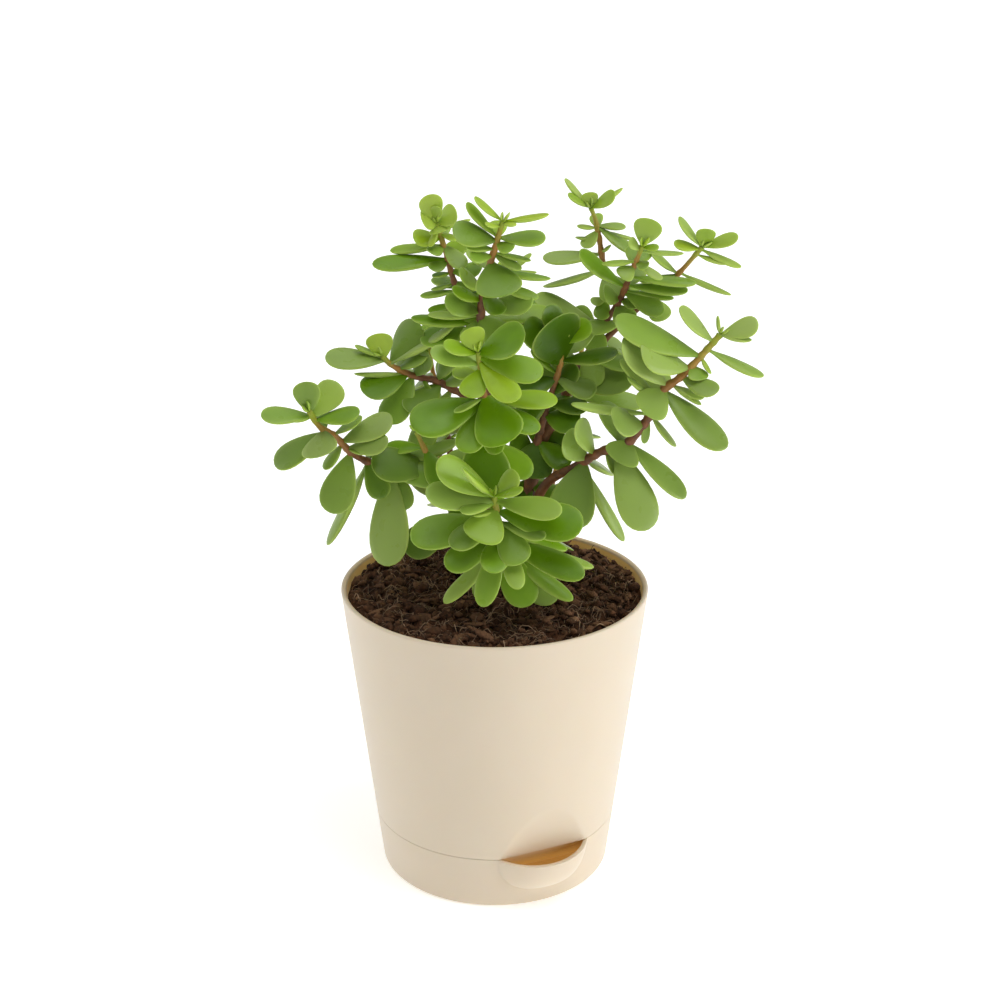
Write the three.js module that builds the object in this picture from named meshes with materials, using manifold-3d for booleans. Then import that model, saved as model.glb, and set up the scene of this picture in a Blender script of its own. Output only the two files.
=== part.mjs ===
// A potted jade plant: several rooted cuttings with fleshy leaves in opposite pairs, in soil, in a
// two-piece self-watering pot. Millimetres, +Z up. The origin is the centre of the pot's underside,
// +X is to the right and -Y is the front, with the water inlet at the front right.

import * as THREE from 'three';
import { mergeVertices } from 'three/addons/utils/BufferGeometryUtils.js';
import Module from 'manifold-3d';

const wasm = await Module();
wasm.setup();

// ---------------------------------------------------------------- driving dimensions

const GAP = 0.3; // clearance between neighbouring pieces
const ROUND_SEGMENTS = 40; // sides of the round pot pieces
const BIG = 400; // edge of the blocks that cut with a plane
const SHARED = 1; // depth that two joined solids share

const POT = { topRadius: 57.5, bottomRadius: 43.7, height: 112.9, wall: 1.9, rimBevel: 0.6 };

// The neck nests in the base. The slotted foot reaches down to the water.
const NECK = { radius: 43.0, bottom: 13.5, floor: 2.0, shoulder: 1.9 };
const FOOT = { radius: 11, wall: 1.6, bottom: 3.4, floor: 1.4, slotWidth: 4.5, slotTop: 10.5, slotPairs: 2 };

const BASE = { height: 21.6, wall: 1.9, floor: 2.0, bevel: 1.4, levels: [0.25, 0.5, 0.75] };

// The facet is a plane that leans outwards: its distance from the axis at the seam and at its top. The
// neck has a facet too, set in from it, so water can run down beside the neck.
const FACET = {
  azimuth: -65.5,
  lowHeight: 21.6,
  lowDistance: 42.9,
  topHeight: 42.1,
  topDistance: 48.85,
  neckInset: 2.4,
};

// The lip swells out of the base under the facet, and its edge drops a little.
const LIP = { azimuth: -65, halfWidth: 23.5, reach: 7.0, bottom: 3.5, drop: 0.9 };

// The soil's top is uneven: a slight crown with two crossing ripples, each given by its lengths along
// X and Y.
const SOIL = {
  edge: 109.8,
  crown: 1.4,
  ripple: 0.6,
  firstRipple: { x: 5.2, y: 11 },
  secondRipple: { x: -17, y: 6.1 },
  rings: [1, 0.86, 0.68, 0.46, 0.22],
};

const LEAF = {
  widthBase: 2.0, // width = widthBase + widthRate * length, times the leaf's breadth
  widthRate: 0.37,
  thicknessBase: 0.7, // thickness = thicknessBase + thicknessRate * length
  thicknessRate: 0.055,
  cup: 0.07, // rise of the tip towards the upper face, as a share of the length
  stations: [0, 0.62, 1], // shares of the length
  halfWidths: [0.16, 1, 0.5], // shares of the half width at the stations
  halfThicknesses: [0.6, 1, 0.35],
};

const TWIG = { sides: 5, stationsPerSpan: 1.5 };

// The upper face of a leaf turns partly to the shoot's tip and partly to the sky.
const TURN = { toTip: 0.5, toSky: 0.5 };

// Rooted woody stems. Each route runs from under the soil to the top.
const STEMS = [
  {
    name: 'stem_left',
    route: [[-9, 5, 98], [-9, 5, 114], [-10, 4, 128], [-13, 3, 142]],
    radii: [3.0, 2.4],
  },
  {
    name: 'stem_centre',
    route: [[0, 7, 97], [-1, 6, 124], [-3, 3, 158], [-4, 2, 192]],
    radii: [3.7, 2.3],
  },
  {
    name: 'stem_right',
    route: [[9, 6, 98], [10, 5, 124], [13, 5, 150], [18, 7, 167], [24, 8, 182]],
    radii: [3.5, 2.2],
  },
];

// Shoots with their leaves, each starting in the stem or shoot that carries it. A leaf row is
// [place along the shoot from 0 to 1, clock, forward, length, facing, breadth]. Clock is the direction
// in the front view, in degrees from +X towards +Z. Forward is the lean towards the front, in degrees.
// Facing turns the upper face to the front: 0 leaves it to the shoot, 1 is strong. Breadth, 1 if it is
// left out, widens the leaf.
const SHOOTS = [
  {
    name: 'shoot_left_low',
    route: [[-12, 3, 136], [-23, -6, 154], [-35, -8, 160], [-46.2, -10, 165], [-51.6, -13, 169.5],
      [-56.6, -15, 176.2], [-61.4, -16, 179.5], [-65, -20, 187.1]],
    radii: [2.4, 1.1],
    leaves: [
      [0.98, 98, 0, 12.2, 1, 1.5],
      [0.96, 51, -25, 15.1, 0.9, 1.5],
      [0.94, 11, 10, 17.1, 0.4],
      [0.97, 180, 10, 17.8, 0.3],
      [0.96, 192, 20, 7.5, 0.3, 0.31],
      [0.85, 215, 5, 22.4, 0.5, 1.2],
      [0.87, 264, 60, 14.0, 1, 1.9],
      [0.76, 235, 20, 11.3, 0.4, 0.94],
      [0.82, 28, -10, 12.1, 0.1, 1.2],
      [0.77, 23, -5, 20.4, 0.6, 1.2],
      [0.73, 11, 20, 17.4, 0.6],
      [0.73, 358, 30, 9.5, 0.3, 0.6],
      [0.7, 252, 20, 22.9, 1, 1.3],
      [0.6, 246, 0, 35.8, 0.1, 0.46],
      [0.61, 297, 20, 15.0, 0.9, 1.2],
      [0.49, 269, 15, 34.9, 0.9, 1.1],
      [0.45, 283, 25, 14.0, 0.9, 1.1],
      [0.56, 350, 10, 26.8, 0.6, 0.81],
      [0.53, 13, -10, 28.6, 0.4, 0.58],
      [0.42, 309, -30, 19.4, 0.2, 0.56],
      [0.86, 120, -60, 14, 0],
      [0.5, 240, -55, 20, 0],
      [0.6, 60, -60, 15, 0],
    ],
  },
  {
    name: 'shoot_left_mid',
    route: [[-4, 3, 176], [-11, 4, 185], [-16.8, 4, 188.5], [-21.6, 5, 190.8], [-27.8, 6, 191.6],
      [-33.5, 6, 193.9], [-37.8, 6, 196.6], [-40.6, 6, 199.6]],
    radii: [1.9, 1.0],
    leaves: [
      [0.95, 180, 0, 22.1, 0.5, 1.1],
      [0.98, 161, -10, 11.4, 0.2, 0.46],
      [0.97, 104, 0, 9.9, 1, 1.8],
      [0.91, 53, -10, 18.4, 0.9, 1.5],
      [0.91, 30, 10, 29.4, 0.2, 0.43],
      [0.83, 31, 10, 13.7, 0.5, 1.1],
      [0.76, 184, 5, 18.9, 0, 0.25],
      [0.74, 200, 20, 18.4, 0.5, 1.6],
      [0.69, 66, 15, 12.2, 0.8, 1.7],
      [0.7, 243, 20, 19.9, 0.8, 1.4],
      [0.63, 305, 30, 8.0, 0.3, 0.52],
      [0.47, 219, 30, 16.9, 0.8, 1.7],
      [0.51, 60, 15, 13.9, 0.8, 1.2],
      [0.45, 25, 20, 11.3, 0.7, 1.2],
      [0.37, 240, 10, 28.0, 0.8, 0.91],
      [0.25, 244, -15, 21.9, 0.5, 0.88],
      [0.8, 100, -65, 12, 0],
      [0.55, 227, -60, 15.0, 0, 1.2],
      [0.35, 120, -55, 16, 0],
    ],
  },
  {
    name: 'shoot_top_left',
    route: [[-4, 2, 186], [-9, 5, 211], [-14.8, 8, 227.9], [-16.9, 10, 235.1], [-19, 11, 242.1],
      [-20.3, 10, 247.3]],
    radii: [1.8, 1.0],
    leaves: [
      [1, 107, 10, 11.3, 0.8, 1.4],
      [0.99, 37, 5, 8.7, 0.6, 1.9],
      [1, 158, 30, 7.2, 0.8, 2],
      [0.99, 292, 50, 4.1, 1, 2.1],
      [1, 91, 20, 7.3, 0.8, 0.94],
      [0.97, 10, 0, 11.8, 0.1, 0.46],
      [0.91, 179, 15, 10.4, 0.8, 1.4],
      [0.98, 250, 30, 8.3, 0, 0.6],
      [0.86, 194, 45, 7.3, 1, 1.3],
      [0.87, 192, -10, 19.6, 0.3, 0.66],
      [0.79, 185, 5, 26.9, 0.55, 0.77],
      [0.78, 201, 35, 8.3, 0.9, 1.2],
      [0.71, 190, 15, 7.2, 0.4, 0.89],
      [0.65, 197, 10, 8.8, 0.3, 0.58],
      [0.61, 192, 0, 13.4, 0.3, 0.66],
      [0.53, 194, 5, 12.5, 0.6, 0.67],
      [0.87, 316, 30, 12.3, 0.9],
      [0.94, 337, 10, 7.0, 0.2, 0.94],
      [0.66, 342, 20, 9.5, 0.5],
      [0.72, 4, 15, 11.6, 0.6, 1.5],
      [0.54, 324, 35, 10.0, 1, 1.7],
      [0.9, 100, -70, 9.0, 0, 1.4],
      [0.76, 50, -55, 13.0, 0, 1.6],
      [0.62, 183, -60, 15.0, 0],
      [0.42, 60, -60, 16, 0.0],
    ],
  },
  {
    name: 'shoot_top_centre',
    route: [[-4, 2, 190], [-5, 1, 208], [-4.2, -1, 223], [-1.5, -5, 235.7], [1.7, -8, 247.4],
      [3, -9, 252.1]],
    radii: [2.2, 1.0],
    leaves: [
      [1, 144, -5, 12.8, 0.1, 0.77],
      [1, 6, 5, 16.1, 0.1, 0.66],
      [0.99, 356, 40, 6.1, 0.4, 0.69],
      [0.97, 171, 35, 7.2, 0.5, 0.63],
      [0.9, 138, -10, 16.1, 0.2, 0.66],
      [0.9, 356, 5, 16.5, 0.35, 1.1],
      [0.88, 166, 10, 16.4, 0.7, 1.4],
      [0.87, 342, 45, 8.1, 0.9, 1.2],
      [0.81, 347, 10, 13.4, 0.2, 0.48],
      [0.8, 332, 20, 11.6, 0.5, 0.77],
      [0.75, 291, 45, 15.9, 1, 2.1],
      [0.71, 345, 0, 21.7, 0.1, 0.48],
      [0.69, 351, -15, 17.6, 0.1, 0.26],
      [0.63, 342, 15, 19.7, 0.6, 0.48],
      [0.79, 179, 40, 10.7, 1, 0.87],
      [0.54, 319, 40, 11.8, 1, 1.2],
      [0.47, 7, 25, 20.7, 0.9],
      [0.56, 142, 20, 12.8, 0.6, 1.2],
      [0.5, 157, 25, 13.1, 0.7],
      [0.83, 172, 25, 11.2, 0.4, 0.72],
      [0.9, 93, -65, 9.0, 0, 1.2],
      [0.7, 150, -60, 14.0, 0, 1.2],
      [0.5, 165, -70, 14, 0.0],
      [0.43, 159, 25, 15.6, 0.9, 1.2],
      [0.39, 255, 40, 11.7, 1, 1.9],
      [0.41, 181, 0, 18.8, 0.4, 0.54],
      [0.37, 183, -5, 24.7, 0.3, 0.64],
      [0.32, 193, -10, 22.2, 0.5, 1.1],
      [0.41, 313, 30, 11.1, 0.8, 2],
      [0.39, 2, -10, 25.2, 0.3, 0.92],
    ],
  },
  {
    name: 'shoot_front_centre',
    route: [[-3, 3, 156], [-5, -16, 174], [-4, -25, 187], [-3.5, -28, 195.5], [-4.5, -30, 204],
      [-5.5, -31, 211.8]],
    radii: [2.0, 1.0],
    leaves: [
      [0.99, 164, 15, 13.1, 0.6],
      [0.99, 23, 10, 18.2, 0.7, 1.9],
      [1, 108, 0, 9.0, 0.9, 1.7],
      [0.97, 345, 10, 22.8, 0.7, 1.1],
      [0.95, 318, 40, 21.5, 0.7],
      [0.93, 165, 10, 18.1, 0.7, 0.93],
      [0.91, 243, 50, 13.8, 0.9, 1.3],
      [0.87, 178, -5, 10.1, 0.5, 1.2],
      [0.74, 199, 35, 13.2, 0.3, 0.43],
      [0.75, 300, 40, 20.7, 1, 1.8],
      [0.74, 356, 0, 25.4, 0.5, 0.78],
      [0.72, 193, 20, 28.7, 0.9, 1.7],
      [0.7, 246, 40, 20.1, 0.8, 1.1],
      [0.71, 334, 20, 22.0, 0.6, 0.88],
      [0.53, 310, 30, 11.7, 0.9, 1.1],
      [0.51, 276, 15, 22.0, 1, 1.8],
      [0.41, 323, -5, 22.4, 0.8],
      [0.32, 209, 0, 14.2, 0.7, 1.2],
      [0.82, 120, -50, 14, 0],
      [0.55, 30, -35, 18, 0],
    ],
  },
  {
    name: 'shoot_front_low',
    route: [[4, -6, 98], [5, -9, 112], [4, -22, 130], [2.7, -30, 142.4], [1.3, -34, 152],
      [-0.1, -36, 161.3]],
    radii: [2.6, 1.1],
    leaves: [
      [1, 145, 15, 26.2, 0.9],
      [1, 130, 40, 24.3, 0.5, 0.54],
      [0.97, 171, 15, 25.7, 0.8],
      [0.96, 180, 40, 15.9, 0.4, 0.65],
      [1, 47, 10, 12.7, 0.9, 1.1],
      [1, 27, 40, 15.4, 0.4, 0.57],
      [0.97, 360, 25, 25.9, 0.8, 0.8],
      [0.91, 354, 15, 31.2, 0.7, 1.1],
      [0.93, 235, 45, 15.4, 1, 1.9],
      [0.91, 178, 40, 10.4, 0.2, 0.32],
      [0.89, 211, 20, 20.1, 0.7, 1.1],
      [0.86, 194, 0, 31.4, 0.8],
      [0.79, 253, 55, 19.1, 0.9, 1.1],
      [0.77, 255, 30, 27.1, 0.6, 0.74],
      [0.79, 212, 20, 23.5, 0.8],
      [0.68, 224, 15, 29.3, 0.3, 0.49],
      [0.63, 245, 0, 20.8, 0.8],
      [0.85, 354, 35, 20.4, 0.5, 0.62],
      [0.83, 309, 45, 18.1, 1, 1.3],
      [0.75, 297, 50, 23.9, 0.8, 0.65],
      [0.68, 292, 20, 23.6, 1, 1.2],
      [0.54, 322, 10, 23.3, 0.8, 1.1],
      [0.73, 340, 20, 32.9, 0.8, 0.7],
      [0.65, 323, 15, 30.7, 0.2, 0.5],
      [0.72, 336, -10, 35.9, 0.2, 0.34],
      [0.83, 333, -10, 26.9, 0.3, 0.49],
      [0.86, 100, -40, 14, 0],
      [0.6, 160, -30, 17, 0],
    ],
  },
  {
    name: 'shoot_right_top',
    route: [[24, 8, 178], [34, 10, 199], [40.5, 12, 222.5], [38.9, 13, 232.5], [36.2, 14, 246.8],
      [34.3, 13, 252.1]],
    radii: [2.0, 1.0],
    leaves: [
      [1, 138, -10, 13.9, 0, 0.5],
      [1, 151, 10, 10.1, 0.3, 0.77],
      [1, 32, 20, 10.8, 0.5, 1.2],
      [1, 27, -10, 13.3, 0, 0.5],
      [1, 98, 0, 5.8, 0.4, 1.5],
      [0.9, 177, 10, 7.5, 0.4, 0.62],
      [0.85, 183, 0, 8.6, 0.1, 0.5],
      [0.91, 357, 5, 10.4, 0.4, 0.79],
      [0.91, 325, 15, 18.2, 0.1, 0.86],
      [0.89, 341, -10, 14.1, 0.1, 0.5],
      [0.89, 234, 20, 8.3, 0.3, 1.3],
      [0.78, 187, 5, 21.2, 0.5, 0.76],
      [0.79, 38, 40, 5.2, 0.5, 0.84],
      [0.71, 201, 0, 22.9, 0.1, 0.62],
      [0.69, 299, 30, 11.6, 0.7, 1.9],
      [0.57, 192, 30, 6.3, 0.7],
      [0.58, 252, 35, 9.5, 0.7, 1.1],
      [0.66, 330, -20, 14.4, 0.4, 0.71],
      [0.45, 212, 30, 18.0, 0.8],
      [0.35, 270, 25, 16, 0.8, 1.2],
      [0.3, 347, 20, 18.0, 0.7],
      [0.2, 175, 15, 20.0, 0.7],
      [0.9, 90, -70, 8.5, 0],
      [0.44, 158, 0, 25.6, 0.7, 0.9],
      [0.44, 176, 15, 30.1, 0.8, 0.95],
      [0.41, 135, -20, 11.8, 0.6, 1.4],
      [0.44, 259, 20, 9.8, 0.6, 1.6],
    ],
  },
  {
    name: 'shoot_right_inner',
    route: [[37.2, 10.4, 207], [44.2, 6, 219.2], [47.9, -4, 232.6], [49.9, -7, 239], [51.1, -9, 243.4]],
    radii: [1.5, 0.9],
    leaves: [
      [1, 74, -5, 9.8, 1, 1.8],
      [0.99, 356, 10, 6.0, 0.5, 0.88],
      [0.96, 141, 10, 5.8, 0.5, 1.1],
      [0.95, 354, 0, 15.1, 0.1, 0.29],
      [0.85, 188, 0, 12.0, 0.1, 0.69],
      [0.84, 326, 15, 11.0, 0.4, 0.67],
      [0.8, 215, 30, 7.0, 0.6, 1.5],
      [0.84, 340, 45, 5.7, 0.8, 1.1],
      [0.68, 353, 5, 23.4, 0.2, 0.43],
      [0.54, 145, 10, 22.3, 0.2, 0.77],
      [0.57, 355, 10, 21.8, 0.4, 0.55],
      [0.5, 351, 10, 17.8, 0.2, 0.38],
      [0.48, 335, 25, 16.7, 0.9, 0.91],
      [0.38, 348, 35, 8.7, 0.8, 1.1],
      [0.38, 151, 30, 8.5, 0.7, 1.6],
      [0.32, 302, 40, 8.9, 1, 1.7],
      [0.8, 60, -60, 11.0, 0, 1.6],
      [0.55, 30, -60, 14, 0.0],
    ],
  },
  {
    name: 'shoot_right_outer',
    route: [[22, 8, 178], [33, 11, 196], [45, 9, 210], [55, 7, 220.1], [60.6, 4, 226],
      [65.5, 1, 231.8], [72.6, -2, 241.4]],
    radii: [1.8, 1.0],
    leaves: [
      [1, 133, -5, 13.5, 0.2, 0.87],
      [0.99, 171, 5, 9.9, 0.35],
      [1, 78, 15, 7.6, 0.7, 1.5],
      [1, 16, 5, 13.1, 0.6, 0.86],
      [0.99, 334, 5, 15.7, 0.15, 0.58],
      [0.96, 339, 10, 11.4, 0.2, 0.45],
      [0.84, 144, 0, 13.1, 0.1, 0.91],
      [0.85, 333, 5, 20.0, 0, 0.3],
      [0.84, 193, 10, 14.1, 0.2, 0.46],
      [0.75, 353, 25, 9.0, 0.6, 0.76],
      [0.67, 300, 25, 9.7, 0.9, 1.6],
      [0.5, 187, 15, 14.0, 0.4],
      [0.38, 320, -35, 14.0, 0.3, 1.6],
      [0.24, 150, 10, 16, 0.6],
      [0.66, 235, -65, 12, 0.0],
      [0.15, 4, 15, 23.8, 0.9, 1.5],
      [0.1, 348, 0, 29.4, 0.7, 0.75],
      [0.13, 115, -5, 9.5, 0.7, 1.7],
    ],
  },
  {
    name: 'shoot_right_long',
    route: [[11, 5, 134], [19.6, -2, 154], [29.1, -8, 162], [37.8, -12, 169.1], [46.9, -14, 172.8],
      [54.5, -14, 182.6], [58.4, -14, 191.8], [66.4, -13, 198.1], [72.3, -12, 204.4],
      [79.2, -10, 211.9]],
    radii: [2.4, 1.4],
    leaves: [
      [1, 18, 10, 14.1, 0.7, 1.2],
      [1, 351, 20, 11.4, 0.3, 0.73],
      [1, 102, 0, 7.0, 0, 0.6],
      [0.97, 141, 0, 17.7, 0.5, 1.1],
      [0.94, 334, 10, 22.0, 0.3, 0.77],
      [0.91, 298, 20, 7.2, 0.2, 0.69],
      [0.91, 159, 5, 34.2, 0.6],
      [0.86, 157, 25, 22.8, 0.7, 1.3],
      [0.77, 138, 10, 25.3, 0.7, 1.2],
      [0.87, 303, 40, 6.7, 0.9, 1.9],
      [0.82, 341, 30, 14.9, 0.9, 1.2],
      [0.78, 333, 10, 12.6, 0.3, 0.69],
      [0.78, 325, 10, 13.1, 0.3, 0.49],
      [0.75, 317, 15, 30.3, 0.8],
      [0.76, 223, 35, 13.3, 0.9, 1.9],
      [0.66, 304, 0, 15.5, 0.2, 0.72],
      [0.65, 260, 0, 10.1, 0.1, 0.62],
      [0.62, 160, 40, 17.5, 1, 1.4],
      [0.55, 233, 35, 9.7, 1, 2.4],
      [0.66, 174, 10, 29.3, 0.4, 0.34],
      [0.71, 144, 10, 14.2, 0.2, 0.46],
      [0.5, 290, 20, 31.3, 0.9, 1.2],
      [0.54, 315, 5, 29.0, 0.6, 0.75],
      [0.46, 296, 10, 10.4, 0.3],
      [0.38, 250, 25, 25.5, 1, 1.5],
      [0.36, 295, 0, 33.7, 0.3, 0.38],
      [0.7, 70, -65, 18.1, 0, 1.2],
      [0.52, 117, -50, 19.0, 0, 1.6],
      [0.38, 310, -50, 22.0, 0, 0.91],
      [0.39, 135, 20, 14.7, 0.9, 1.6],
      [0.42, 118, 25, 19.5, 0.8],
      [0.72, 140, -10, 18.6, 0.4, 0.54],
    ],
  },
  {
    name: 'shoot_right_centre',
    route: [[12, 5, 148], [15, 3, 165], [19, 1, 182], [23, -1, 196], [25, -3, 208]],
    radii: [1.9, 1.0],
    leaves: [
      [0.98, 117, 0, 15.4, 0.8, 1.2],
      [0.98, 39, 0, 12.1, 0.8, 1.3],
      [0.93, 144, 15, 19.0, 0.8, 1.4],
      [0.84, 100, 25, 22.4, 1, 2.1],
      [0.87, 10, 20, 22.1, 0.7, 0.8],
      [0.78, 140, 0, 13.4, 0.4, 0.61],
      [0.75, 343, 15, 15.2, 0.7, 1.2],
      [0.75, 192, 20, 15.3, 0.8, 1.4],
      [0.64, 48, 0, 14.6, 0.7, 1.1],
      [0.61, 214, 15, 15.6, 0.7, 1.2],
      [0.59, 352, 10, 14.7, 0.6, 1.2],
      [0.51, 351, 30, 14.1, 0.8, 1.6],
      [0.4, 132, 0, 13.8, 0.7, 1.4],
      [0.34, 257, 25, 14.3, 1, 2.1],
      [0.33, 327, 20, 14.8, 0.8, 1.4],
      [0.25, 150, 5, 10.7, 0.7, 2.1],
      [0.11, 50, 0, 20.3, 0.7, 1.1],
      [0.08, 243, 10, 8.8, 0.7, 1.7],
      [0.07, 328, 5, 13.2, 0.6, 1.3],
      [0.85, 170, -45, 14, 0],
      [0.5, 40, -45, 18, 0],
      [0.3, 93, -60, 20.0, 0, 1.2],
    ],
  },
  {
    name: 'shoot_left_inner',
    route: [[-10, 4, 124], [-14, -3, 138], [-17, -7, 152], [-23, -10, 165], [-28, -12, 177]],
    radii: [1.8, 1.0],
    leaves: [
      [1.0, 50, 20, 13, 0.8, 1.1],
      [0.86, 300, 25, 15, 0.9, 1.2],
      [0.88, 190, -20, 15.0, 0.4, 0.91],
      [0.72, 172, 15, 23.7, 0.9, 1.3],
      [0.66, 350, 20, 16, 0.8, 1.2],
      [0.5, 15, -20, 18, 0.4],
      [0.5, 300, 30, 15, 0.8, 1.1],
      [0.32, 214, 10, 22.0, 0.9, 1.3],
      [0.3, 330, 25, 18, 0.8, 1.2],
    ],
  },
  {
    name: 'shoot_back_left',
    route: [[-13, 4, 138], [-17, 18, 160], [-22, 27, 180], [-25, 31, 198]],
    radii: [2.0, 1.0],
    leaves: [
      [1.0, 160, -20, 12, 0.0],
      [1.0, 20, -20, 12, 0.0],
      [0.96, 85, 20, 10, 0.0],
      [0.95, 95, -50, 12, 0.0],
      [0.8, 190, -40, 18, 0.0],
      [0.8, 10, -40, 18, 0.0],
      [0.65, 200, -70, 22, 0.0],
      [0.6, 150, 0, 20, 0.3],
      [0.48, 250, -65, 22, 0.0],
      [0.45, 340, -30, 20, 0.0],
      [0.3, 195, -30, 24, 0.0],
    ],
  },
  {
    name: 'shoot_back_centre',
    route: [[-3, 3, 162], [0, 19, 184], [3, 28, 205], [4, 32, 224]],
    radii: [2.0, 1.0],
    leaves: [
      [1.0, 150, -15, 12, 0.0],
      [1.0, 30, -15, 12, 0.0],
      [0.96, 90, -65, 11, 0.0],
      [0.96, 80, 25, 9, 0.0],
      [0.82, 180, -20, 17, 0.0],
      [0.82, 0, -20, 17, 0.0],
      [0.68, 250, -70, 20, 0.0],
      [0.68, 90, 10, 14, 0.0],
      [0.52, 190, -30, 22, 0.0],
      [0.52, 350, -30, 22, 0.0],
      [0.36, 260, -55, 24, 0.0],
      [0.26, 215, -10, 20, 0.0],
    ],
  },
  {
    name: 'shoot_back_right',
    route: [[13, 6, 146], [21, 19, 164], [29, 28, 182], [34, 31, 200]],
    radii: [2.0, 1.0],
    leaves: [
      [1.0, 150, -20, 12, 0.0],
      [1.0, 20, -20, 12, 0.0],
      [0.96, 80, -55, 11, 0.0],
      [0.96, 90, 20, 9, 0.0],
      [0.8, 170, -40, 18, 0.0],
      [0.8, 350, -30, 18, 0.0],
      [0.66, 290, -65, 22, 0.0],
      [0.6, 20, -10, 18, 0.2],
      [0.48, 210, -50, 20, 0.0],
      [0.44, 330, -30, 22, 0.0],
      [0.3, 290, -60, 18, 0.0],
    ],
  },
  {
    name: 'shoot_back_low_left',
    route: [[-10, 5, 117], [-15, 17, 130], [-19, 27, 143], [-22, 33, 157]],
    radii: [1.9, 1.0],
    leaves: [
      [1.0, 165, -40, 12, 0.0],
      [1.0, 15, -40, 12, 0.0],
      [0.9, 270, -65, 18, 0.0],
      [0.75, 180, -50, 20, 0.0],
      [0.75, 0, -40, 18, 0.0],
      [0.55, 240, -60, 22, 0.0],
      [0.5, 330, -50, 20, 0.0],
      [0.35, 230, -20, 19, 0.0],
    ],
  },
  {
    name: 'shoot_back_low_right',
    route: [[10, 6, 117], [16, 17, 129], [21, 26, 140], [25, 33, 153]],
    radii: [1.9, 1.0],
    leaves: [
      [1.0, 165, -40, 12, 0.0],
      [1.0, 15, -30, 12, 0.0],
      [0.9, 290, -65, 17, 0.0],
      [0.75, 180, -40, 18, 0.0],
      [0.72, 350, -35, 18, 0.0],
      [0.55, 310, -55, 20, 0.0],
      [0.45, 240, -45, 20, 0.0],
      [0.34, 325, 0, 17, 0.2],
    ],
  },
];

// ---------------------------------------------------------------- finishes

const FINISHES = {
  pot: { color: 0xeee0c8, roughness: 0.55, metalness: 0 },
  soil: { color: 0x2e1d15, roughness: 1, metalness: 0 },
  stem: { color: 0x6e4a33, roughness: 0.85, metalness: 0 },
  shoot: { color: 0x5f8b1e, roughness: 0.4, metalness: 0 },
};

// ---------------------------------------------------------------- solids

const UP = new THREE.Vector3(0, 0, 1);
const FRONT = new THREE.Vector3(0, -1, 0);
const radians = THREE.MathUtils.degToRad;

/** A closed three.js geometry as a solid. */
function solidOf(geometry) {
  const bare = geometry.clone();
  bare.deleteAttribute('normal');
  bare.deleteAttribute('uv');
  const merged = mergeVertices(bare, 1e-4);
  return new wasm.Manifold(new wasm.Mesh({
    numProp: 3,
    vertProperties: new Float32Array(merged.attributes.position.array),
    triVerts: new Uint32Array(merged.index.array),
  }));
}

/** A solid as a three.js geometry. */
function geometryOf(solid) {
  const { numProp, vertProperties, triVerts } = solid.getMesh();
  const positions = new Float32Array((vertProperties.length / numProp) * 3);
  for (let i = 0; i < positions.length / 3; i += 1) {
    positions.set(vertProperties.subarray(i * numProp, i * numProp + 3), i * 3);
  }
  const geometry = new THREE.BufferGeometry();
  geometry.setAttribute('position', new THREE.BufferAttribute(positions, 3));
  geometry.setIndex(new THREE.BufferAttribute(new Uint32Array(triVerts), 1));
  geometry.computeVertexNormals();
  return geometry;
}

/** A profile of [radius, height] pairs turned round the Z axis. */
function turned(profile, segments = ROUND_SEGMENTS) {
  const points = profile.map(([radius, height]) => new THREE.Vector2(radius, height));
  const lathe = new THREE.LatheGeometry(points, segments);
  lathe.rotateX(Math.PI / 2);
  return solidOf(lathe);
}

/** A closed skin through rings of points with equal counts, each end closed to a point or its middle. */
function loft(rings) {
  const count = rings[0].length;
  const positions = rings.flat().flatMap((point) => point.toArray());
  const triangles = [];
  for (let ring = 0; ring < rings.length - 1; ring += 1) {
    for (let side = 0; side < count; side += 1) {
      const a = ring * count + side;
      const b = ring * count + ((side + 1) % count);
      triangles.push(a, b, b + count, a, b + count, a + count);
    }
  }
  const last = (rings.length - 1) * count;
  for (let side = 1; side < count - 1; side += 1) {
    triangles.push(0, side + 1, side);
    triangles.push(last, last + side, last + side + 1);
  }
  const geometry = new THREE.BufferGeometry();
  geometry.setAttribute('position', new THREE.Float32BufferAttribute(positions, 3));
  geometry.setIndex(triangles);
  return solidOf(geometry);
}

/** A large block on the far side of an upright or leaning plane. The plane faces the azimuth, and its
 *  distance from the Z axis goes from one value to another between two heights. */
function blockBeyond(azimuth, lowHeight, lowDistance, highHeight, highDistance) {
  const lean = Math.atan2(highDistance - lowDistance, highHeight - lowHeight);
  const block = new THREE.BoxGeometry(BIG, BIG, BIG);
  block.translate(BIG / 2, 0, 0);
  block.rotateY(lean);
  block.translate(lowDistance, 0, lowHeight);
  block.rotateZ(radians(azimuth));
  return solidOf(block);
}

/** The largest separate body of a solid. */
function mainBody(solid) {
  const bodies = solid.decompose();
  return bodies.reduce((best, body) => (body.volume() > best.volume() ? body : best));
}

/** A smooth route through points. */
function curveOf(route) {
  return new THREE.CatmullRomCurve3(route.map((point) => new THREE.Vector3(...point)));
}

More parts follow.
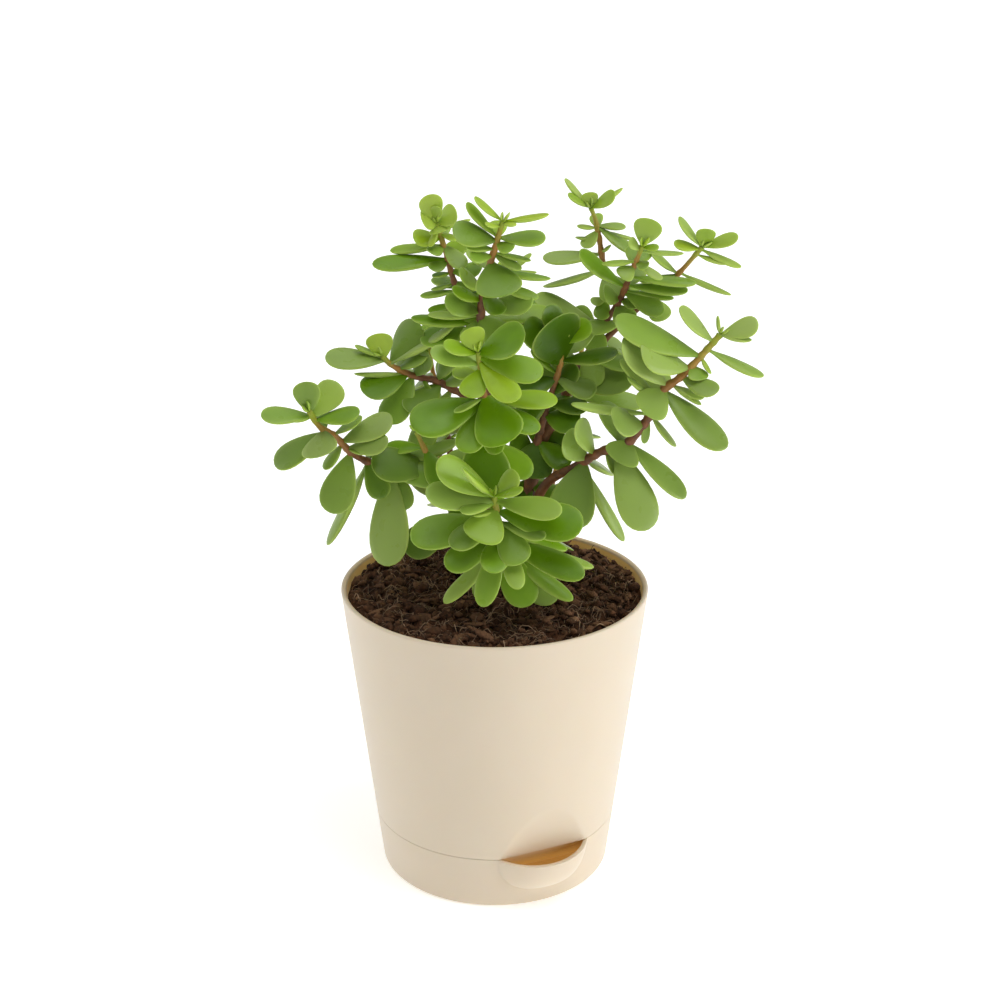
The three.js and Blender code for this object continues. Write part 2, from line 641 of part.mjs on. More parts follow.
/** A round branch along a route, thinner towards its end, grown all round by a margin. */
function branch({ route, radii }, margin = 0) {
  const curve = curveOf(route);
  const spans = Math.round((route.length - 1) * TWIG.stationsPerSpan);
  const frames = curve.computeFrenetFrames(spans, false);
  const rings = [];
  for (let i = 0; i <= spans; i += 1) {
    const past = i === 0 ? -margin : margin * Number(i === spans);
    const centre = curve.getPointAt(i / spans).addScaledVector(frames.tangents[i], past);
    const radius = THREE.MathUtils.lerp(radii[0], radii[1], i / spans) + margin;
    const ring = [];
    for (let side = 0; side < TWIG.sides; side += 1) {
      const angle = (side / TWIG.sides) * Math.PI * 2;
      ring.push(centre.clone()
        .addScaledVector(frames.normals[i], radius * Math.cos(angle))
        .addScaledVector(frames.binormals[i], radius * Math.sin(angle)));
    }
    rings.push(ring);
  }
  return loft(rings);
}

/** Where a leaf grows and how it lies: its base, its length direction and its upper face. */
function leafFrame(curve, [place, clock, forward, , facing]) {
  const along = new THREE.Vector3(
    Math.cos(radians(forward)) * Math.cos(radians(clock)),
    -Math.sin(radians(forward)),
    Math.cos(radians(forward)) * Math.sin(radians(clock)),
  );
  const upper = curve.getTangentAt(place).multiplyScalar(TURN.toTip)
    .addScaledVector(UP, TURN.toSky)
    .addScaledVector(FRONT, facing);
  upper.addScaledVector(along, -upper.dot(along)).normalize();
  const across = new THREE.Vector3().crossVectors(upper, along);
  return { base: curve.getPointAt(place), along, upper, across };
}

/** One fleshy obovate leaf, a diamond in section, grown all round by a margin. */
function leaf(curve, row, margin = 0) {
  const { base, along, upper, across } = leafFrame(curve, row);
  const [, , , length, , breadth = 1] = row;
  const halfWidth = (breadth * (LEAF.widthBase + LEAF.widthRate * length)) / 2;
  const halfThickness = (LEAF.thicknessBase + LEAF.thicknessRate * length) / 2;
  const rings = LEAF.stations.map((share, i) => {
    const centre = base.clone()
      .addScaledVector(along, share * (length + 2 * margin) - margin)
      .addScaledVector(upper, LEAF.cup * length * share * share);
    const wide = halfWidth * LEAF.halfWidths[i] + margin;
    const thick = halfThickness * LEAF.halfThicknesses[i] + margin;
    const corners = [[wide, 0], [0, thick], [-wide, 0], [0, -thick]];
    return corners.map(([side, rise]) => centre.clone()
      .addScaledVector(across, side)
      .addScaledVector(upper, rise));
  });
  return loft(rings);
}

/** A shoot with all its leaves, grown all round by a margin. */
function leafyShoot(shoot, margin = 0) {
  const curve = curveOf(shoot.route);
  const leaves = shoot.leaves.map((row) => leaf(curve, row, margin));
  return wasm.Manifold.union([branch(shoot, margin), ...leaves]);
}

// ---------------------------------------------------------------- holder and soil

/** Outer radius of the pot and its base at a height. */
function wallRadius(height) {
  return THREE.MathUtils.lerp(POT.bottomRadius, POT.topRadius, height / POT.height);
}

/** The block that cuts the facet, moved inwards by an inset. */
function facetBlock(inset = 0) {
  return blockBeyond(FACET.azimuth, FACET.lowHeight, FACET.lowDistance - inset,
    FACET.topHeight, FACET.topDistance - inset);
}

/** The inside of the upper pot as a solid: foot, neck and cone, smaller all round by an inset. */
function potInside(inset, top) {
  const thick = POT.wall + inset;
  const floorTop = NECK.bottom + NECK.floor + inset;
  const shoulderTop = BASE.height + GAP + NECK.shoulder + inset;
  const cone = turned([
    [0, shoulderTop],
    [wallRadius(shoulderTop) - thick, shoulderTop],
    [wallRadius(top) - thick, top],
    [0, top],
  ]);
  const neck = turned([
    [0, floorTop],
    [NECK.radius - thick, floorTop],
    [NECK.radius - thick, shoulderTop + SHARED],
    [0, shoulderTop + SHARED],
  ]);
  const foot = turned([
    [0, FOOT.bottom + FOOT.floor + inset],
    [FOOT.radius - FOOT.wall - inset, FOOT.bottom + FOOT.floor + inset],
    [FOOT.radius - FOOT.wall - inset, floorTop + SHARED],
    [0, floorTop + SHARED],
  ]);
  return cone.subtract(facetBlock(thick))
    .add(neck.subtract(facetBlock(FACET.neckInset + thick)))
    .add(foot);
}

/** The slots round the foot that let water in. */
function footSlots() {
  const height = FOOT.slotTop - FOOT.bottom - FOOT.floor;
  const slots = [];
  for (let i = 0; i < FOOT.slotPairs; i += 1) {
    const slot = new THREE.BoxGeometry(2 * (FOOT.radius + SHARED), FOOT.slotWidth, height);
    slot.translate(0, 0, FOOT.bottom + FOOT.floor + height / 2);
    slot.rotateZ((i / FOOT.slotPairs) * Math.PI);
    slots.push(solidOf(slot));
  }
  return wasm.Manifold.union(slots);
}

/** The upper pot: cone with a facet, neck, floor and slotted foot, hollow inside. */
function potBody() {
  const seam = BASE.height + GAP;
  const cone = turned([
    [0, seam],
    [wallRadius(seam), seam],
    [wallRadius(POT.height) - POT.rimBevel / 4, POT.height - POT.rimBevel],
    [POT.topRadius - POT.rimBevel, POT.height],
    [0, POT.height],
  ]);
  const neck = turned([
    [0, NECK.bottom],
    [NECK.radius, NECK.bottom],
    [NECK.radius, seam + SHARED],
    [0, seam + SHARED],
  ]);
  const foot = turned([
    [0, FOOT.bottom],
    [FOOT.radius, FOOT.bottom],
    [FOOT.radius, NECK.bottom + SHARED],
    [0, NECK.bottom + SHARED],
  ]);
  return cone.subtract(facetBlock())
    .add(neck.subtract(facetBlock(FACET.neckInset)))
    .add(foot)
    .subtract(potInside(0, POT.height + SHARED))
    .subtract(footSlots());
}

/** How far the lip stands out of the base at an azimuth, from 0 to 1. */
function lipShare(azimuth) {
  const offset = Math.abs(azimuth - LIP.azimuth) / LIP.halfWidth;
  return offset < 1 ? Math.cos((offset * Math.PI) / 2) : 0;
}

/** One ring of the base at a share of its height, moved inwards by an inset. */
function baseRing(share, inset) {
  const ring = [];
  for (let i = 0; i < ROUND_SEGMENTS; i += 1) {
    const azimuth = (i / ROUND_SEGMENTS) * 360 - 180;
    const lip = lipShare(azimuth);
    const height = share * (BASE.height - LIP.drop * lip);
    const swell = THREE.MathUtils.smoothstep(height, LIP.bottom, BASE.height) * LIP.reach * lip;
    const radius = wallRadius(height) + swell - inset;
    ring.push(new THREE.Vector3(
      radius * Math.cos(radians(azimuth)),
      radius * Math.sin(radians(azimuth)),
      height,
    ));
  }
  return ring;
}

/** The reservoir: a shallow cup with a swelling lip at its inlet. */
function reservoirBase() {
  const floorShare = BASE.floor / BASE.height;
  return loft([
    baseRing(0, BASE.bevel),
    baseRing(BASE.bevel / BASE.height, 0),
    ...BASE.levels.map((share) => baseRing(share, 0)),
    baseRing(1, 0),
    baseRing(1, BASE.wall),
    ...[...BASE.levels].reverse().map((share) => baseRing(share, BASE.wall)),
    baseRing(floorShare, BASE.wall),
  ]);
}

/** Height of the soil at a place. */
function soilHeight(x, y) {
  const out = Math.hypot(x, y) / POT.topRadius;
  const first = Math.sin(x / SOIL.firstRipple.x + y / SOIL.firstRipple.y);
  const second = Math.cos(x / SOIL.secondRipple.x + y / SOIL.secondRipple.y);
  return SOIL.edge + SOIL.crown * (1 - out * out) + SOIL.ripple * first * second;
}

/** The soil: it fills the pot and the foot, and is open where the buried stems stand. */
function soilBody(buried) {
  const top = SOIL.edge - 2 * SOIL.ripple;
  const rim = wallRadius(top) - POT.wall - GAP;
  const surface = SOIL.rings.map((share) => {
    const ring = [];
    for (let i = 0; i < ROUND_SEGMENTS; i += 1) {
      const angle = (i / ROUND_SEGMENTS) * Math.PI * 2;
      const x = share * rim * Math.cos(angle);
      const y = share * rim * Math.sin(angle);
      ring.push(new THREE.Vector3(x, y, soilHeight(x, y)));
    }
    return ring;
  });
  const underSurface = surface[0].map(({ x, y }) => new THREE.Vector3(x, y, top - SHARED));
  const crust = loft([underSurface, ...surface]);
  const fill = potInside(GAP, top);
  return fill.add(crust).subtract(wasm.Manifold.union(buried));
}

// ---------------------------------------------------------------- assembly

const part = new THREE.Group();

function addPiece(name, solid, finish) {
  const mesh = new THREE.Mesh(geometryOf(solid), new THREE.MeshStandardMaterial(FINISHES[finish]));
  mesh.name = name;
  part.add(mesh);
}

addPiece('pot_body', potBody(), 'pot');
addPiece('reservoir_base', reservoirBase(), 'pot');

const rooted = [...STEMS, SHOOTS.find(({ name }) => name === 'shoot_front_low')];
addPiece('soil', soilBody(rooted.map((stem) => branch(stem, GAP))), 'soil');
STEMS.forEach((stem) => addPiece(stem.name, branch(stem), 'stem'));

// Each shoot makes room for the pieces before it, so it seats on its carrier with the clearance.
let taken = wasm.Manifold.union(STEMS.map((stem) => branch(stem, GAP)));
SHOOTS.forEach((shoot) => {
  addPiece(shoot.name, mainBody(leafyShoot(shoot).subtract(taken)), 'shoot');
  taken = taken.add(leafyShoot(shoot, GAP));
});

export default part;
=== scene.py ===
"""A potted jade plant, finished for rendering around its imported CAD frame.

Everything is in metres, in the frame of the CAD model: the origin is the centre of the pot's flat
underside, +X is to the right, +Z is up and -Y is the front, where the water inlet shows. The sizes
and the table of shoots repeat those of the CAD model in millimetres.
"""

import logging
from collections.abc import Sequence
from dataclasses import KW_ONLY, dataclass, field
from enum import Enum
from typing import Any

import bpy
import numpy as np
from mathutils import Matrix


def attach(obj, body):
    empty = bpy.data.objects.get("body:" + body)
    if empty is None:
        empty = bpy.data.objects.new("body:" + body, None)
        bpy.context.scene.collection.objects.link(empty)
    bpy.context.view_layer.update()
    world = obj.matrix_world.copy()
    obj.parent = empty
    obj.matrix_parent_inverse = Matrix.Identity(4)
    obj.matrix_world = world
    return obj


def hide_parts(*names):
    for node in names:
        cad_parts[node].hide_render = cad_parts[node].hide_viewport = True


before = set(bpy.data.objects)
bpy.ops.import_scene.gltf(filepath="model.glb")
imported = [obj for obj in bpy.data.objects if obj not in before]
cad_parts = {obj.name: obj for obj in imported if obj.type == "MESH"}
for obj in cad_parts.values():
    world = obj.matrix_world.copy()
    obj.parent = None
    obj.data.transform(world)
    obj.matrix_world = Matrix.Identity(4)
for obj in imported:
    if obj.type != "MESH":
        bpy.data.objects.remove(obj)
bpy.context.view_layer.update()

LOG = logging.getLogger("potted_jade_plant")

MM = 0.001
BODY = "root"
UP = np.array([0.0, 0.0, 1.0])
FRONT = np.array([0.0, -1.0, 0.0])

Span = tuple[float, float]
Triple = tuple[float, float, float]
Rows = Sequence[tuple[float, float]]  # a profile: insets from the outer face, and heights


class Slot(Enum):
    """The record's material slots."""

    POT = "pot"
    SOIL = "soil"
    STEM = "stem"
    LEAF = "leaf"


# ---------------------------------------------------------------- vectors and meshes


def unit(vectors: np.ndarray) -> np.ndarray:
    """Scale vectors, along the last axis, to length 1."""
    return vectors / np.linalg.norm(vectors, axis=-1, keepdims=True)


def circle(count: int) -> np.ndarray:
    """Return angles spaced evenly round a circle, in radians."""
    return np.linspace(0.0, 2 * np.pi, count, endpoint=False)


def smoothstep(values: np.ndarray, low: float, high: float) -> np.ndarray:
    """Go smoothly from 0 to 1 as the values go from low to high: t * t * (3 - 2 * t)."""
    share = np.clip((values - low) / (high - low), 0.0, 1.0)
    return share * share * (3.0 - 2.0 * share)


def soft_minimum(first: np.ndarray, second: np.ndarray, blend: float) -> np.ndarray:
    """Take the smaller of two values, with the corner where they cross rounded off.

    With h = 0.5 + 0.5 * (second - first) / blend, held between 0 and 1, the result is
    second + h * (first - second) - blend * h * (1 - h).

    Args:
        first: Values.
        second: Values of the same shape.
        blend: Difference at which the rounding starts.

    Returns:
        The rounded minimum.
    """
    share = np.clip(0.5 + 0.5 * (second - first) / blend, 0.0, 1.0)
    return second + share * (first - second) - blend * share * (1.0 - share)


@dataclass
class Skin:
    """Copies of one closed skin, made of rings of points.

    Each end is closed by faces to the middle of the end ring, or the last ring joins the first.

    Attributes:
        rings: Points in metres, of shape (copies, rings, points round, 3).
        values: Numbers for the material at each point, by name, of shape (copies, rings, points round)
            or a shape that spreads to it.
        looped: Whether the last ring joins the first.
    """

    rings: np.ndarray
    values: dict[str, np.ndarray] = field(default_factory=dict)
    looped: bool = False

    def with_ends(self, numbers: np.ndarray) -> np.ndarray:
        """List numbers per point, one row each, and then the middles of the end rings.

        Args:
            numbers: Numbers of shape (copies, rings, points round, ...).

        Returns:
            One row per vertex of the mesh.
        """
        width = numbers.shape[3:]
        points = numbers.reshape(-1, *width)
        if self.looped:
            return points
        return np.concatenate([points, numbers[:, [0, -1]].mean(axis=2).reshape(-1, *width)])

    def faces(self, start: int) -> list[list[int]]:
        """List the four-sided faces between the rings, and the three-sided ones round the ends.

        Args:
            start: Number of the skin's first vertex in the mesh.

        Returns:
            The corners of each face, in the order that makes it face outwards.
        """
        copies, rings, around, _ = self.rings.shape
        index = np.arange(copies * rings * around).reshape(copies, rings, around)
        if self.looped:
            index = np.concatenate([index, index[:, :1]], axis=1)
        beside = np.roll(index, -1, axis=2)
        quads = np.stack([index[:, :-1], beside[:, :-1], beside[:, 1:], index[:, 1:]], axis=-1)
        groups = [quads.reshape(-1, 4)]
        if not self.looped:
            ends = index.size + np.arange(copies * 2).reshape(copies, 2, 1).repeat(around, axis=2)
            first = np.stack([ends[:, 0], beside[:, 0], index[:, 0]], axis=-1)
            last = np.stack([ends[:, 1], index[:, -1], beside[:, -1]], axis=-1)
            groups += [first.reshape(-1, 3), last.reshape(-1, 3)]
        order = -1 if self.is_inside_out() else 1
        return [face for group in groups for face in (group[:, ::order] + start).tolist()]

    def value(self, name: str) -> np.ndarray:
        """Return one number per vertex, 0 where the skin has none of that name."""
        return self.with_ends(np.broadcast_to(self.values.get(name, np.zeros(())), self.rings.shape[:3]))

    def is_inside_out(self) -> bool:
        """Sum the volume that the first copy's ring faces enclose: (a x b) . c + (a x c) . d for each.

        Returns:
            Whether the volume is negative.
        """
        ring = self.rings[0]
        side = np.roll(ring, -1, axis=1)
        middle = ring.reshape(-1, 3).mean(axis=0)
        a, b, c, d = (part - middle for part in (ring[:-1], side[:-1], side[1:], ring[1:]))
        volume = (np.cross(a, b) * c).sum() + (np.cross(a, c) * d).sum()
        return bool(volume < 0)


@dataclass
class Piece:
    """One visible piece of the object.

    Attributes:
        name: The piece's name.
        skins: Its closed skins.
        material: Its finish.
        slot: The record's material slot for its finish. It is not used.
        replaces: The CAD node that it stands for.
    """

    name: str
    skins: Sequence[Skin]
    material: bpy.types.Material
    slot: Slot
    replaces: str

    def build(self) -> bpy.types.Object:
        """Make the mesh object and tie it to the frame.

        Returns:
            The object, at the origin, with its place in its mesh.
        """
        vertices: list[np.ndarray] = []
        faces: list[list[int]] = []
        for skin in self.skins:
            faces += skin.faces(sum(map(len, vertices)))
            vertices.append(skin.with_ends(skin.rings))
        mesh = bpy.data.meshes.new(self.name)
        mesh.from_pydata(np.concatenate(vertices), [], faces)
        for name in sorted({name for skin in self.skins for name in skin.values}):
            attribute = mesh.attributes.new(name, "FLOAT", "POINT")
            numbers = np.concatenate([skin.value(name) for skin in self.skins])
            attribute.data.foreach_set("value", numbers.astype(np.float32))
        mesh.shade_smooth()
        mesh.materials.append(self.material)
        piece = bpy.data.objects.new(self.name, mesh)
        bpy.context.scene.collection.objects.link(piece)
        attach(piece, BODY)
        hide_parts(self.replaces)
        LOG.info("%s: %d faces, stands for %s", self.name, len(faces), self.replaces)
        return piece


class Route:
    """A smooth route through points, placed by the share of its length.

    Between two points it is the centripetal Catmull-Rom cubic: Hermite blending of the points and their
    slopes, where the knots are spaced by the square root of the distance between the points.
    """

    SAMPLES_PER_SPAN = 24
    LOOK = 0.01  # a direction is taken over this share of the length, back and ahead

    def __init__(self, points_mm: Sequence[Sequence[float]]) -> None:
        """Sample the route.

        Args:
            points_mm: The points that the route passes, in millimetres.
        """
        points = np.asarray(points_mm, float) * MM
        before, after = 2 * points[0] - points[1], 2 * points[-1] - points[-2]
        knots = np.vstack([before, points, after])
        step = np.sqrt(np.linalg.norm(np.diff(knots, axis=0), axis=1))[:, None]
        p0, p1, p2, p3 = knots[:-3], knots[1:-2], knots[2:-1], knots[3:]
        d0, d1, d2 = step[:-2], step[1:-1], step[2:]
        slope_in = d1 * ((p1 - p0) / d0 - (p2 - p0) / (d0 + d1) + (p2 - p1) / d1)
        slope_out = d1 * ((p2 - p1) / d1 - (p3 - p1) / (d1 + d2) + (p3 - p2) / d2)
        t = np.linspace(0.0, 1.0, self.SAMPLES_PER_SPAN, endpoint=False)[None, :, None]
        spans = (
            (2 * t**3 - 3 * t**2 + 1) * p1[:, None]
            + (t**3 - 2 * t**2 + t) * slope_in[:, None]
            + (3 * t**2 - 2 * t**3) * p2[:, None]
            + (t**3 - t**2) * slope_out[:, None]
        )
        self.samples = np.vstack([spans.reshape(-1, 3), points[-1:]])
        pieces = np.linalg.norm(np.diff(self.samples, axis=0), axis=1)
        self.travelled = np.concatenate([[0.0], np.cumsum(pieces)])
        self.length = float(self.travelled[-1])

    def at(self, shares: np.ndarray) -> np.ndarray:
        """Return the points at shares of the length from 0 to 1."""
        places = np.asarray(shares) * self.length
        return np.stack([np.interp(places, self.travelled, line) for line in self.samples.T], axis=-1)

    def heading(self, shares: np.ndarray) -> np.ndarray:
        """Return the unit directions of travel at shares of the length."""
        ahead, back = (self.at(np.clip(shares + look, 0, 1)) for look in (self.LOOK, -self.LOOK))
        return unit(ahead - back)

    def tube(self, shares: np.ndarray, radii: np.ndarray) -> np.ndarray:
        """Carry a circle along the route: centre + radius * (cos a * side + sin a * other side).

        Args:
            shares: Places of the rings, as shares of the length.
            radii: Radii in metres, of shape (rings, points round).

        Returns:
            The rings, of shape (rings, points round, 3).
        """
        heading = self.heading(shares)
        axis = np.eye(3)[np.abs(heading).max(axis=0).argmin()]
        side = unit(np.cross(heading, axis))
        other = np.cross(heading, side)
        angle = circle(radii.shape[1])[:, None]
        spokes = np.cos(angle) * side[:, None] + np.sin(angle) * other[:, None]
        return self.at(shares)[:, None] + radii[:, :, None] * spokes


# ---------------------------------------------------------------- finishes


def linear(colour: int) -> tuple[float, float, float, float]:
    """Turn an sRGB colour into linear light: c / 12.92 up to 0.04045, then ((c + 0.055) / 1.055) ** 2.4.

    Args:
        colour: Red, green and blue as one number, such as 0xAABBCC.

    Returns:
        Linear red, green, blue and alpha.
    """
    encoded = np.array([(colour >> shift) & 255 for shift in (16, 8, 0)]) / 255.0
    decoded = np.where(encoded <= 0.04045, encoded / 12.92, ((encoded + 0.055) / 1.055) ** 2.4)
    return (*(float(channel) for channel in decoded), 1.0)


def per_metre(size_mm: float) -> float:
    """Return the scale of a pattern: how many of its patches fit in a metre."""
    return 1 / (size_mm * MM)


class NodeKind(Enum):
    """A kind of node: its type name, settings, the inputs that it is given, in order, and its output.

    A mix is given its share first. Its sockets go by number, because those of each data type share
    their names.
    """

    ATTRIBUTE = ("ShaderNodeAttribute", {}, (), "Fac")
    OBJECT_PLACE = ("ShaderNodeTexCoord", {}, (), "Object")
    NOISE = ("ShaderNodeTexNoise", {}, ("Vector", "Scale", "Detail", "Roughness"), "Fac")
    MAP_RANGE = (
        "ShaderNodeMapRange", {}, ("Value", "From Min", "From Max", "To Min", "To Max"), "Result")
    MULTIPLY = ("ShaderNodeMath", {"operation": "MULTIPLY"}, (0, 1), 0)
    MIX_NUMBERS = ("ShaderNodeMix", {"data_type": "FLOAT"}, (0, 2, 3), 0)
    MIX_COLOURS = ("ShaderNodeMix", {"data_type": "RGBA"}, (0, 6, 7), 2)
    BUMP = ("ShaderNodeBump", {}, ("Height", "Distance"), "Normal")
    GLOSSY_RAY = ("ShaderNodeLightPath", {}, (), "Is Glossy Ray")
    CAMERA_RAY = ("ShaderNodeLightPath", {}, (), "Is Camera Ray")


class Painter:
    """The nodes of a material or of the world: its own shader, and those that feed it."""

    def __init__(self, owner: bpy.types.Material | bpy.types.World) -> None:
        """Start with the owner's own nodes, of which the shader is the first.

        Args:
            owner: The material or the world.
        """
        owner.use_nodes = True
        self.tree = owner.node_tree
        self.shader = self.tree.nodes[0]

    def plug(self, socket: bpy.types.NodeSocket, source: Any) -> None:
        """Link an input to an output socket, or set its value.

        Args:
            socket: The input.
            source: An output socket, or a value, which is an sRGB number for a colour.
        """
        if isinstance(source, bpy.types.NodeSocket):
            self.tree.links.new(source, socket)
        else:
            socket.default_value = linear(source) if socket.type == "RGBA" else source

    def add(self, kind: NodeKind, *inputs: Any, **settings: Any) -> bpy.types.NodeSocket:
        """Add a node with its settings and links.

        Args:
            kind: The kind of node.
            inputs: What its inputs get, in the kind's order. The rest keep their defaults.
            settings: Properties of the node, beside those of its kind.

        Returns:
            The kind's output socket.
        """
        type_name, own_settings, sockets, output = kind.value
        node = self.tree.nodes.new(type_name)
        for name, value in {**own_settings, **settings}.items():
            setattr(node, name, value)
        for key, source in zip(sockets, inputs):
            self.plug(node.inputs[key], source)
        return node.outputs[output]

    def feed(self, inputs: dict[str, Any]) -> None:
        """Link or set the shader's own inputs, by name."""
        for name, source in inputs.items():
            self.plug(self.shader.inputs[name], source)

    def coat(self, base: int, *coats: tuple[bpy.types.NodeSocket, int]) -> bpy.types.NodeSocket:
        """Lay coats of colour over a base: each mixes with what is under it by its share.

        Args:
            base: The sRGB colour under all coats.
            coats: How much each coat covers, from 0 to 1, and its sRGB colour.

        Returns:
            The colour on top.
        """
        colour: Any = base
        for share, over in coats:
            colour = self.add(NodeKind.MIX_COLOURS, share, colour, over)
        return colour


@dataclass(frozen=True)
class MouldedPolypropylene:
    """Injection-moulded polypropylene in cream: satin, with a soft sheen at its sides, a very fine
    eggshell grain, and a warm painted glow, amber colour and emission, where light would come through the
    walls."""

    cream: int = 0xE1D2BC
    cloud: int = 0xDDCDB5  # slight unevenness of the pigment
    cloud_mm: float = 30.0
    painted_glow_colour: int = 0xD2AC62  # painted glow: the colour laid on where light would come through the walls
    # strength of the painted glow: an emission, though the walls are no lamp
    glow: float = 0.22
    painted_glow_span: Span = (0.5, 1.0)  # values of inside over which the painted glow sets in
    roughness: float = 0.46
    ior: float = 1.49
    sheen: float = 0.3
    sheen_roughness: float = 0.4
    scatter: float = 0.15
    scatter_mm: Triple = (3.0, 1.6, 0.7)  # red, green, blue
    grain_mm: float = 0.5  # the real grain is about 0.1 mm, too fine to show
    grain_depth_mm: float = 0.006

    def build(self) -> bpy.types.Material:
        """Make the material.

        Returns:
            The material. It reads the value inside, which sets the painted glow: 1 where it is full, 0
            outside.
        """
        material = bpy.data.materials.new("moulded_polypropylene")
        painter = Painter(material)
        place = painter.add(NodeKind.OBJECT_PLACE)
        inside = painter.add(NodeKind.ATTRIBUTE, attribute_name="inside")
        clouds = painter.add(NodeKind.NOISE, place, per_metre(self.cloud_mm))
        grain = painter.add(NodeKind.NOISE, place, per_metre(self.grain_mm))
        painter.feed({
            # painted glow: inside lays an amber colour over the cream
            "Base Color": painter.coat(self.cream, (clouds, self.cloud), (inside, self.painted_glow_colour)),
            "Roughness": self.roughness,
            "IOR": self.ior,
            "Sheen Weight": self.sheen,
            "Sheen Roughness": self.sheen_roughness,
            "Subsurface Weight": self.scatter,
            "Subsurface Radius": tuple(length * MM for length in self.scatter_mm),
            "Subsurface Scale": 1.0,
            # painted glow: emission on the walls, though they are no lamp
            "Emission Color": self.painted_glow_colour,
            "Emission Strength": painter.add(NodeKind.MAP_RANGE, inside, *self.painted_glow_span, 0.0, self.glow),
            "Normal": painter.add(NodeKind.BUMP, grain, self.grain_depth_mm * MM),
        })
        return material


@dataclass(frozen=True)
class PottingMix:
    """Peat and composted bark, damp: nearly black brown, rough, with paler dry crumbs."""

    damp: int = 0x1E1009
    dry: int = 0x68442D
    pale: int = 0xA27A5A
    patch_mm: float = 2.2
    patch_span: Span = (0.38, 0.66)  # part of the pattern that goes from damp to dry
    clod_mm: float = 1.1
    clod_depth_mm: float = 1.0
    detail: float = 4.0
    harshness: float = 0.7
    roughness: float = 0.9
    ior: float = 1.4
    gloss: float = 0.25

    def build(self) -> bpy.types.Material:
        """Make the material.

        Returns:
            The material. It reads the value dryness, from 0 to 1.
        """
        material = bpy.data.materials.new("potting_mix")
        painter = Painter(material)
        place = painter.add(NodeKind.OBJECT_PLACE)
        dryness = painter.add(NodeKind.ATTRIBUTE, attribute_name="dryness")
        clouds, clods = (
            painter.add(NodeKind.NOISE, place, per_metre(size), self.detail, self.harshness)
            for size in (self.patch_mm, self.clod_mm))
        patches = painter.add(NodeKind.MAP_RANGE, clouds, *self.patch_span)
        painter.feed({
            "Base Color": painter.coat(self.damp, (patches, self.dry), (dryness, self.pale)),
            "Roughness": self.roughness,
            "IOR": self.ior,
            "Specular IOR Level": self.gloss,
            "Normal": painter.add(NodeKind.BUMP, clods, self.clod_depth_mm * MM),
        })
        return material


@dataclass(frozen=True)
class CoirFibre:
    """Coconut husk fibre: thin dry threads from dark brown to tan, with a little sheen."""

    dark: int = 0x38231A
    tan: int = 0xC0A080
    strand_mm: float = 0.4
    strand_depth_mm: float = 0.05
    roughness: float = 0.7
    ior: float = 1.5
    gloss: float = 0.3

    def build(self) -> bpy.types.Material:
        """Make the material.

        Returns:
            The material. It reads the value dryness, from 0 to 1.
        """
        material = bpy.data.materials.new("coir_fibre")
        painter = Painter(material)
        place = painter.add(NodeKind.OBJECT_PLACE)
        dryness = painter.add(NodeKind.ATTRIBUTE, attribute_name="dryness")
        strands = painter.add(NodeKind.NOISE, place, per_metre(self.strand_mm))
        painter.feed({
            "Base Color": painter.coat(self.dark, (dryness, self.tan)),
            "Roughness": self.roughness,
            "IOR": self.ior,
            "Specular IOR Level": self.gloss,
            "Normal": painter.add(NodeKind.BUMP, strands, self.strand_depth_mm * MM),
        })
        return material


@dataclass(frozen=True)
class JadeBark:
    """Skin of the stems: red-brown and lightly mottled, turning orange and then green to the tips."""

    woody: int = 0x64402A
    red: int = 0x935C38
    orange: int = 0xB4813C
    green: int = 0x94A82C
    patch_mm: float = 2.5
    patch_span: Span = (0.3, 0.7)  # part of the pattern that goes from woody to red
    orange_span: Span = (0.35, 0.75)  # youth over which the bark turns orange
    green_span: Span = (0.75, 1.0)  # youth over which it turns green
    grain_mm: float = 0.7
    grain_depth_mm: float = 0.12
    detail: float = 3.0
    roughness: float = 0.5
    ior: float = 1.45

    def build(self) -> bpy.types.Material:
        """Make the material.

        Returns:
            The material. It reads the value youth, from 0 to 1.
        """
        material = bpy.data.materials.new("jade_bark")
        painter = Painter(material)
        place = painter.add(NodeKind.OBJECT_PLACE)
        youth = painter.add(NodeKind.ATTRIBUTE, attribute_name="youth")
        clouds, grain = (
            painter.add(NodeKind.NOISE, place, per_metre(size), self.detail)
            for size in (self.patch_mm, self.grain_mm))
        painter.feed({
            "Base Color": painter.coat(
                self.woody,
                (painter.add(NodeKind.MAP_RANGE, clouds, *self.patch_span), self.red),
                (painter.add(NodeKind.MAP_RANGE, youth, *self.orange_span), self.orange),
                (painter.add(NodeKind.MAP_RANGE, youth, *self.green_span), self.green),
            ),
            "Roughness": self.roughness,
            "IOR": self.ior,
            "Normal": painter.add(NodeKind.BUMP, grain, self.grain_depth_mm * MM),
        })
        return material


